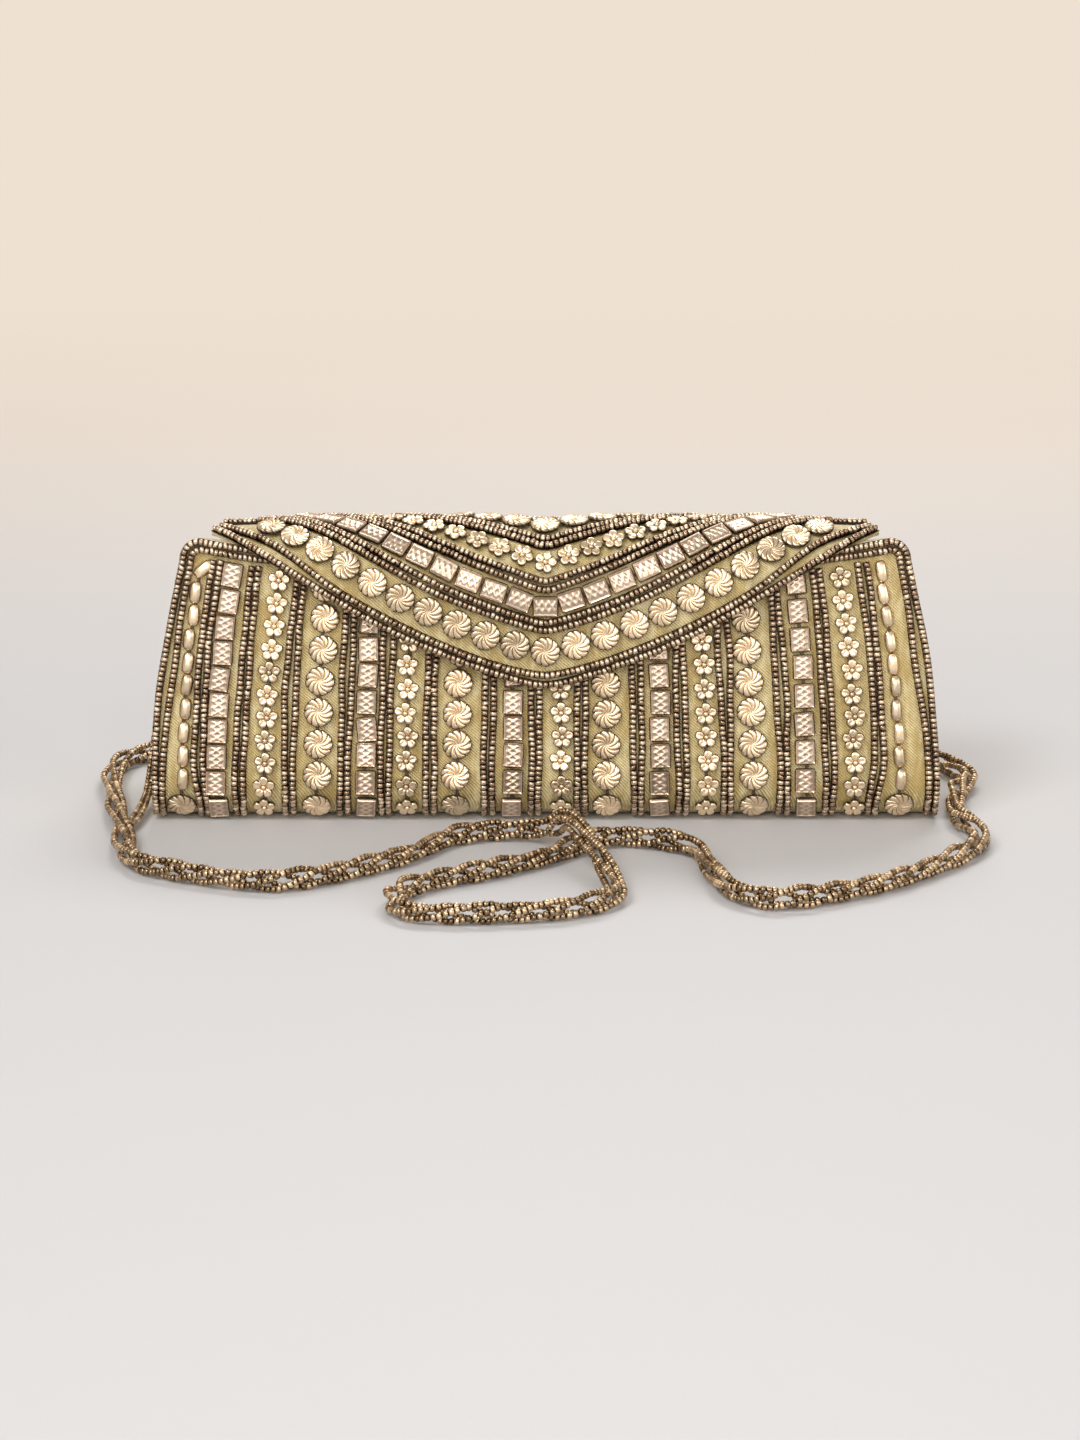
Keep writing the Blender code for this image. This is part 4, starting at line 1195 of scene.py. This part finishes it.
def row_path(inward, wander=False):
    """The V row at a distance inside the flap's edge: places in x and s, and the run along them."""
    limit = FLAP_HALF - ROW_MARGIN - ROW_NARROWING * inward
    x = np.linspace(-limit, limit, 1201)
    if wander:
        inward = (inward + 0.0021 * np.exp(-((np.abs(x) - 0.091) / 0.014) ** 2)
                  + 0.0005 * np.exp(-(x / 0.012) ** 2))
    s = edge_line(x) - inward * np.hypot(1.0, edge_slope(x))
    keep = s > -ROW_END
    x, s = x[keep], s[keep]
    run = np.concatenate([[0.0], np.cumsum(np.hypot(np.diff(x), np.diff(s)))])
    return x, s, run


def row_points(path, t, side, out):
    """Points of a row at runs t, moved sideways, and the way off the flap."""
    x, s, run = path
    px, ps = np.interp(t, run, x), np.interp(t, run, s)
    dx = np.interp(t + 0.001, run, x) - np.interp(t - 0.001, run, x)
    ds = np.interp(t + 0.001, run, s) - np.interp(t - 0.001, run, s)
    size = np.hypot(dx, ds)
    px, ps = px - side * ds / size, ps + side * dx / size
    at = flap_point(px, ps, out)
    up = unit(flap_point(px, ps, out + 0.001) - at)
    return at, up


def row_levels():
    """Distances of the rows inside the flap's edge, each a gap from the one before."""
    z = sizes()
    pair = STRING_PITCH / 2 + SOLID_BEAD / 2
    small_pair = 0.9 * STRING_PITCH / 2 + SOLID_BEAD / 2
    level = {"discs": EDGE_ROW + STRING_STEP + SOLID_BEAD / 2 + ROW_GAP + z.disc / 2}
    level["outer"] = level["discs"] + z.disc / 2 + ROW_GAP + pair
    level["squares"] = level["outer"] + pair + ROW_GAP + z.square_wide / 2
    level["middle"] = level["squares"] + z.square_wide / 2 + ROW_GAP + pair
    level["flowers"] = level["middle"] + pair + ROW_GAP + z.flower / 2
    level["inner"] = level["flowers"] + z.flower / 2 + ROW_GAP + small_pair
    level["top"] = level["inner"] + small_pair + ROW_GAP + z.disc / 2
    return level


def make_row(name, node, kind, inward, lift, seed):
    """One V row of ornaments, spaced out from its middle, with its thread."""
    path = row_path(inward)
    total = path[2][-1]
    length, pitch = size_of(kind)
    count = int((total - length) / pitch) + 1
    count -= 1 - count % 2
    t = total / 2 + (np.arange(count) - (count - 1) / 2) * pitch
    at, up = row_points(path, t, 0.0, GAP + lift)
    after, before = (row_points(path, t + step, 0.0, GAP + lift)[0] for step in (0.0006, -0.0006))
    parts = [stamp(shape_of(kind), at, unit(after - before), up, seed, 0.03)]
    thread, _ = row_points(path, np.linspace(t[0], t[-1], 160), 0.0, THREAD_LIFT)
    ornament_piece(name, node, kind, parts, name + "_thread", thread, "flap")


def make_row_strings(name, node, inward, offsets, seed, wander=False):
    """Bead strings of one V row, at sideways offsets from it."""
    path = row_path(inward, wander)
    t = np.linspace(0.0, path[2][-1], 400)
    out = ROW_LIFT + sizes().bead / 2
    rng = np.random.default_rng(seed)
    paths = []
    for side in offsets:
        sway = 0.00012 * np.sin(t * rng.uniform(60, 140) + rng.uniform(0, 6.28))
        paths.append(row_points(path, t, side + sway, out))
    string_piece(name, node, paths, seed, "flap")


def make_ridge_strings():
    """Two straight strings along the flap, behind its ridge."""
    reach = FLAP_HALF - 2 * EDGE_ROW
    x = np.linspace(-reach, reach, 240)
    out = GAP + sizes().bead / 2
    paths = []
    for way in (-1, 1):
        s = -ROW_END - RIDGE_STRINGS + way * ROW_PAIR_HALF
        at = flap_point(x, s, out)
        paths.append((at, unit(flap_point(x, s, out + 0.001) - at)))
    string_piece("ridge_beads", "flap_ridge_strings", paths, 930, "flap")


# Strap. The routes' points are those of the solids, left end first, x mirrored

STRAP_ROUTE = ((0.1130, 0.0254, 0.0683), (0.1132, 0.0276, 0.0565), (0.1205, 0.0338, 0.0280),
               (0.1265, 0.0392, 0.0140), (0.1345, 0.0440, 0.0060), (0.1430, 0.0440, 0.0038),
               (0.1500, 0.0360, 0.0037), (0.1525, 0.0180, 0.0037), (0.1480, -0.0150, 0.0037),
               (0.1405, -0.0530, 0.0037), (0.1360, -0.0780, 0.0037), (0.1240, -0.0930, 0.0037),
               (0.0850, -0.1070, 0.0037), (0.0480, -0.0820, 0.0037), (0.0310, -0.0590, 0.0037),
               (0.0140, -0.0520, 0.0037), (-0.0010, -0.0570, 0.0060), (-0.0090, -0.0700, 0.0118),
               (-0.0220, -0.1130, 0.0037), (-0.0170, -0.1270, 0.0037), (0.0000, -0.1370, 0.0037),
               (0.0390, -0.1390, 0.0037), (0.0470, -0.1240, 0.0037), (0.0390, -0.1090, 0.0037),
               (0.0040, -0.0850, 0.0037), (-0.0200, -0.0600, 0.0037), (-0.0470, -0.0690, 0.0037),
               (-0.0530, -0.0950, 0.0037), (-0.0600, -0.1180, 0.0037), (-0.0760, -0.1250, 0.0037),
               (-0.1120, -0.1040, 0.0037), (-0.1430, -0.0640, 0.0037), (-0.1390, -0.0330, 0.0037),
               (-0.1430, -0.0040, 0.0037), (-0.1485, 0.0150, 0.0037), (-0.1370, 0.0385, 0.0045),
               (-0.1280, 0.0400, 0.0120), (-0.1205, 0.0345, 0.0270), (-0.1132, 0.0276, 0.0565),
               (-0.1130, 0.0254, 0.0683))

STRAND_ROUTE = ((0.1200, 0.0238, 0.0683), (0.1212, 0.0262, 0.0565), (0.1270, 0.0296, 0.0470),
                (0.1335, 0.0310, 0.0410), (0.1354, 0.0250, 0.0360), (0.1354, 0.0120, 0.0280),
                (0.1360, 0.0000, 0.0150), (0.1366, -0.0120, 0.0062), (0.1376, -0.0280, 0.0034),
                (0.1388, -0.0440, 0.0032))


def cord_line(route, step, floor):
    """Even points on a smooth curve through the route, kept above the floor by the cord's radius."""
    mirrored = np.array(route) * np.array([-1.0, 1.0, 1.0])
    pts = round_path(mirrored + np.array([0.0, CENTRE_SHIFT, 0.0]), step)
    pts[:, 2] = np.maximum(pts[:, 2], floor)
    return pts


def carried_frame(points):
    """Two directions square to a path that turn as little as possible along it."""
    ahead = unit(np.gradient(points, axis=0))
    up = np.empty_like(ahead)
    last = unit(np.cross(ahead[0], np.array([0.3, 0.9, 0.2])))
    for i, way in enumerate(ahead):
        last = last - way * last.dot(way)
        last = last / np.linalg.norm(last)
        up[i] = last
    return ahead, up, np.cross(ahead, up)


def twisted_strings(points, strings, reach, turn, gather, seed, floor):
    """Paths of bead strings that wind round a line: each a helix whose reach swells and shrinks a
    little, and whose turn is slower where the line runs away from the camera."""
    rng = np.random.default_rng(seed)
    ahead, up, side = carried_frame(points)
    run = np.concatenate([[0.0], np.cumsum(np.linalg.norm(np.diff(points, axis=0), axis=1))])
    ends = smooth_step(np.minimum(run, run[-1] - run), 0.0, gather)
    across = np.convolve(np.abs(ahead[:, 0]), np.ones(15) / 15, mode="same")
    step = np.gradient(run) * (0.22 + 0.90 * across) * 2 * math.pi / turn
    phase = np.cumsum(step) + 0.4 * np.sin(run * 23.0)
    paths = []
    slack = 0.5 * np.sin(run * 71.0 + 0.4) + 0.5 * np.sin(run * 163.0 + 2.0)
    for k in range(strings):
        swell = 1.04 + 0.20 * slack + 0.08 * np.sin(run * rng.uniform(90, 170) + rng.uniform(0, 6.28))
        r = reach * swell * (0.45 + 0.55 * ends)
        angle = phase + 2 * math.pi * k / strings
        away = np.cos(angle)[:, None] * side + np.sin(angle)[:, None] * up
        line = points + r[:, None] * away
        line[:, 2] = np.maximum(line[:, 2], floor)
        paths.append((line, away))
    return paths


def strap_piece(name, node, paths, bead, pitch, seed, wobble):
    """Strings of the strap as one piece."""
    verts, faces, attributes = bead_strings(paths, bead / 2, pitch, seed, wobble)
    return finish_piece(name, verts, faces, strap_metal(), "body", [node], 60.0,
                        attributes)


def make_strap():
    """Twisted strap of bead strings."""
    width, bead = sizes().strap_width, sizes().bead * STRAP_BEAD
    line = cord_line(STRAP_ROUTE, 0.0012, STRAP_LEVEL)
    paths = twisted_strings(line, sizes().strap_strings, width / 2 - bead / 2 - 0.0001,
                            sizes().strap_turn, STRAP_END, 40, bead / 2 + FLOOR_GAP)
    obj = strap_piece("strap_beads", "strap", paths, bead, sizes().bead_pitch * STRAP_PITCH, 41, 0.00008)


def make_loose_strings():
    """Two thin strings that lie loose at the strap's left end."""
    line = cord_line(STRAND_ROUTE, 0.0010, LOOSE_LEVEL)
    paths = twisted_strings(line, 2, LOOSE_REACH, LOOSE_TURN, LOOSE_END, 42, LOOSE_BEAD / 2 + FLOOR_GAP)
    obj = strap_piece("strap_loose_beads", "strap_loose_strands", paths, LOOSE_BEAD,
                      sizes().bead_pitch, 43, 0.00002)


# Stage

CAMERA_AIM = (-0.0018, 0.0, 0.0280)
CAMERA_DISTANCE = 1.150
CAMERA_RISE = math.radians(15.0)
CAMERA_LENS = 83.2


def make_camera():
    """Camera at the photo's angle, level across."""
    data = bpy.data.cameras.new("photo_camera")
    data.lens = CAMERA_LENS
    data.sensor_width = 36.0
    data.clip_start = 0.05
    cam = bpy.data.objects.new("photo_camera", data)
    bpy.context.scene.collection.objects.link(cam)
    aim = Vector(CAMERA_AIM)
    cam.location = aim + CAMERA_DISTANCE * Vector((0.0, -math.cos(CAMERA_RISE), math.sin(CAMERA_RISE)))
    cam.rotation_euler = (aim - cam.location).to_track_quat("-Z", "Y").to_euler()
    bpy.context.scene.camera = cam


# Lamps: place, aim, size, power and tint
LAMPS = {
    "key": ((-0.7, -0.9, 1.3), (0, 0, 0.05), (0.6, 0.6), 11.0, (1.0, 1.0, 1.0)),
    "front": ((-0.2, -1.7, 0.80), (0, 0, 0.05), (1.5, 0.9), 13.5, (1.0, 0.98, 0.96)),
    "fill": ((1.1, -0.9, 0.6), (0, 0, 0.04), (0.7, 0.7), 4.0, (1.0, 0.96, 0.92)),
    "rim": ((0.2, 0.8, 1.1), (0, 0, 0.06), (0.8, 0.4), 8.0, (1.0, 1.0, 1.0)),
}


def make_light(name, place, aim, size, power, tint):
    """Flat lamp that faces its aim."""
    data = bpy.data.lights.new(name, "AREA")
    data.shape = "RECTANGLE"
    data.size, data.size_y = size
    data.energy = power
    data.color = tint
    lamp = bpy.data.objects.new(name, data)
    bpy.context.scene.collection.objects.link(lamp)
    lamp.location = place
    lamp.rotation_euler = (Vector(aim) - Vector(place)).to_track_quat("-Z", "Y").to_euler()


def make_floor():
    """Floor that rises into a backdrop: flat, then a quarter circle, then upright."""
    across = np.linspace(-3.0, 3.0, 13)
    turn = np.linspace(0, math.pi / 2, 13)
    reach, bend = 1.6, 0.8
    y = np.concatenate([[-3.0, -1.0, 0.0, 0.8], reach + bend * np.sin(turn), [reach + bend]])
    z = np.concatenate([np.zeros(4), bend - bend * np.cos(turn), [3.0]])
    grid = np.stack(np.broadcast_arrays(across[None, :], y[:, None], z[:, None]), -1)
    mesh = bpy.data.meshes.new("studio_floor")
    mesh.from_pydata([tuple(p) for p in grid.reshape(-1, 3)], [],
                     [tuple(int(v) for v in q) for q in grid_faces(len(y), len(across))])
    mesh.shade_smooth()
    obj = bpy.data.objects.new("studio_floor", mesh)
    bpy.context.scene.collection.objects.link(obj)
    m = new_material("pale_floor")
    place = m.node("ShaderNodeTexCoord", {}, {}, "Object")
    depth = m.node("ShaderNodeSeparateXYZ", {}, {"Vector": place}, "Y")
    far = m.node("ShaderNodeMapRange", {"interpolation_type": "SMOOTHSTEP"},
                 {"Value": depth, "From Min": 0.10, "From Max": 1.30})
    reach = m.node("ShaderNodeVectorMath", {"operation": "LENGTH"}, {0: place}, "Value")
    around = m.node("ShaderNodeMapRange", {"interpolation_type": "SMOOTHSTEP"},
                    {"Value": reach, "From Min": 1.10, "From Max": 2.20})
    far = m.node("ShaderNodeMath", {"operation": "MAXIMUM"}, {0: far, 1: around})
    m.set(Base_Color=m.mix(far, (0.620, 0.610, 0.612), (0.86, 0.76, 0.65)), Roughness=0.6)
    glow = m.node("ShaderNodeEmission", {}, {"Color": (0.86, 0.75, 0.645, 1.0), "Strength": 1.0})
    m.surface(m.seen() * far, Value(m, m.bsdf.outputs[0]), glow)
    mesh.materials.append(m.owner)


def make_world():
    """Even light from all round, and a paler surrounding for what the camera sees."""
    world = bpy.data.worlds.new("studio")
    bpy.context.scene.world = world
    m = Shader(world)
    light = m.node("ShaderNodeBackground", {}, {"Color": (1.0, 0.965, 0.93, 1.0), "Strength": 0.36})
    pale = m.node("ShaderNodeBackground", {}, {"Color": (0.86, 0.80, 0.74, 1.0), "Strength": 0.72})
    m.surface(m.seen(), light, pale)


# Operators

class CLUTCH_OT_stage(bpy.types.Operator):
    """Camera, lamps, world and floor"""
    bl_idname = "clutch.stage"
    bl_label = "Stage"

    def execute(self, context):
        context.scene.view_settings.view_transform = "Standard"
        make_camera()
        make_floor()
        make_world()
        for name, lamp in LAMPS.items():
            make_light(name, *lamp)
        return {"FINISHED"}


class CLUTCH_OT_strap(bpy.types.Operator):
    """Twisted bead strap, its loose strings and the tabs that hold it"""
    bl_idname = "clutch.strap"
    bl_label = "Strap"

    def execute(self, context):
        make_strap()
        make_loose_strings()
        make_tab("tab_left", "strap_tab_left", -1)
        make_tab("tab_right", "strap_tab_right", 1)
        return {"FINISHED"}


class CLUTCH_OT_boards(bpy.types.Operator):
    """Satin over the front, back, base and end boards"""
    bl_idname = "clutch.boards"
    bl_label = "Covered boards"

    def execute(self, context):
        make_front_cover()
        make_back_cover()
        make_base_cover()
        make_end_cover("end_cover_left", "end_panel_left", -1)
        make_end_cover("end_cover_right", "end_panel_right", 1)
        return {"FINISHED"}


class CLUTCH_OT_lining(bpy.types.Operator):
    """Lining, mouth cord and magnets"""
    bl_idname = "clutch.lining"
    bl_label = "Lining and mouth"

    def execute(self, context):
        make_lining()
        make_piping()
        for name in ("front_magnet", "flap_magnet"):
            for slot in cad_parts[name].material_slots:
                slot.material = plain_steel()
        return {"FINISHED"}


class CLUTCH_OT_flap(bpy.types.Operator):
    """Flap cloth and its lining"""
    bl_idname = "clutch.flap"
    bl_label = "Flap"

    def execute(self, context):
        make_flap_shell()
        make_flap_lining()
        return {"FINISHED"}


class CLUTCH_OT_columns(bpy.types.Operator):
    """Upright strings of ornaments on the front"""
    bl_idname = "clutch.columns"
    bl_label = "Ornament columns"

    def execute(self, context):
        for index in range(len(KINDS)):
            make_column(index)
        return {"FINISHED"}


class CLUTCH_OT_strings(bpy.types.Operator):
    """Seed-bead strings on the front and along the mouth"""
    bl_idname = "clutch.strings"
    bl_label = "Seed-bead strings"

    def execute(self, context):
        for index in range(len(KINDS) - 1):
            make_pair(index)
        make_edge_pair("edge_beads_left", "edge_strings_left", -1)
        make_edge_pair("edge_beads_right", "edge_strings_right", 1)
        make_mouth_strings()
        return {"FINISHED"}


class CLUTCH_OT_rows(bpy.types.Operator):
    """V rows of ornaments and bead strings on the flap"""
    bl_idname = "clutch.rows"
    bl_label = "Flap rows"

    def execute(self, context):
        level = row_levels()
        pair = (-ROW_PAIR_HALF, ROW_PAIR_HALF)
        make_row_strings("edge_row_beads", "flap_edge_string", EDGE_STRING, (0.0,), 901)
        make_row_strings("second_row_beads", "flap_second_string", SECOND_STRING, (0.0,), 902, True)
        make_row("disc_row", "flap_disc_row", "disc", level["discs"], 0.0006, 903)
        make_row_strings("outer_row_beads", "flap_pair_outer", level["outer"], pair, 904)
        make_row("square_row", "flap_square_row", "square", level["squares"], 0.0005, 905)
        make_row_strings("middle_row_beads", "flap_pair_middle", level["middle"], pair, 906)
        make_row("flower_row", "flap_flower_row", "flower", level["flowers"], 0.0004, 907)
        make_row_strings("inner_row_beads", "flap_pair_inner", level["inner"], pair, 908)
        make_row("top_disc_row", "flap_top_discs", "disc", level["top"], 0.0006, 909)
        make_ridge_strings()
        return {"FINISHED"}


class CLUTCH_PT_panel(bpy.types.Panel):
    """Lists the bag's sizes, colours and pieces"""
    bl_idname = "CLUTCH_PT_panel"
    bl_label = "Beaded clutch"
    bl_space_type = "VIEW_3D"
    bl_region_type = "UI"
    bl_category = "Clutch"

    def draw(self, context):
        for group in (context.scene.clutch_sizes, context.scene.clutch_colours):
            box = self.layout.box()
            for key in group.bl_rna.properties.keys():
                if key not in ("rna_type", "name"):
                    box.prop(group, key)
        for operator in OPERATORS:
            self.layout.operator(operator.bl_idname)


OPERATORS = (CLUTCH_OT_stage, CLUTCH_OT_strap, CLUTCH_OT_boards, CLUTCH_OT_lining, CLUTCH_OT_flap,
             CLUTCH_OT_columns, CLUTCH_OT_strings, CLUTCH_OT_rows)
CLASSES = (ClutchSizes, ClutchColours, *OPERATORS, CLUTCH_PT_panel)


def register():
    """Adds the classes, sizes and colours."""
    for cls in CLASSES:
        bpy.utils.register_class(cls)
    bpy.types.Scene.clutch_sizes = PointerProperty(type=ClutchSizes)
    bpy.types.Scene.clutch_colours = PointerProperty(type=ClutchColours)


def unregister():
    """Takes them away again."""
    del bpy.types.Scene.clutch_sizes
    del bpy.types.Scene.clutch_colours
    for cls in reversed(CLASSES):
        bpy.utils.unregister_class(cls)


def main():
    """Makes the whole bag."""
    register()
    bpy.ops.clutch.stage()
    bpy.ops.clutch.strap()
    bpy.ops.clutch.boards()
    bpy.ops.clutch.lining()
    bpy.ops.clutch.flap()
    bpy.ops.clutch.columns()
    bpy.ops.clutch.strings()
    bpy.ops.clutch.rows()


if __name__ == "__main__":
    main()
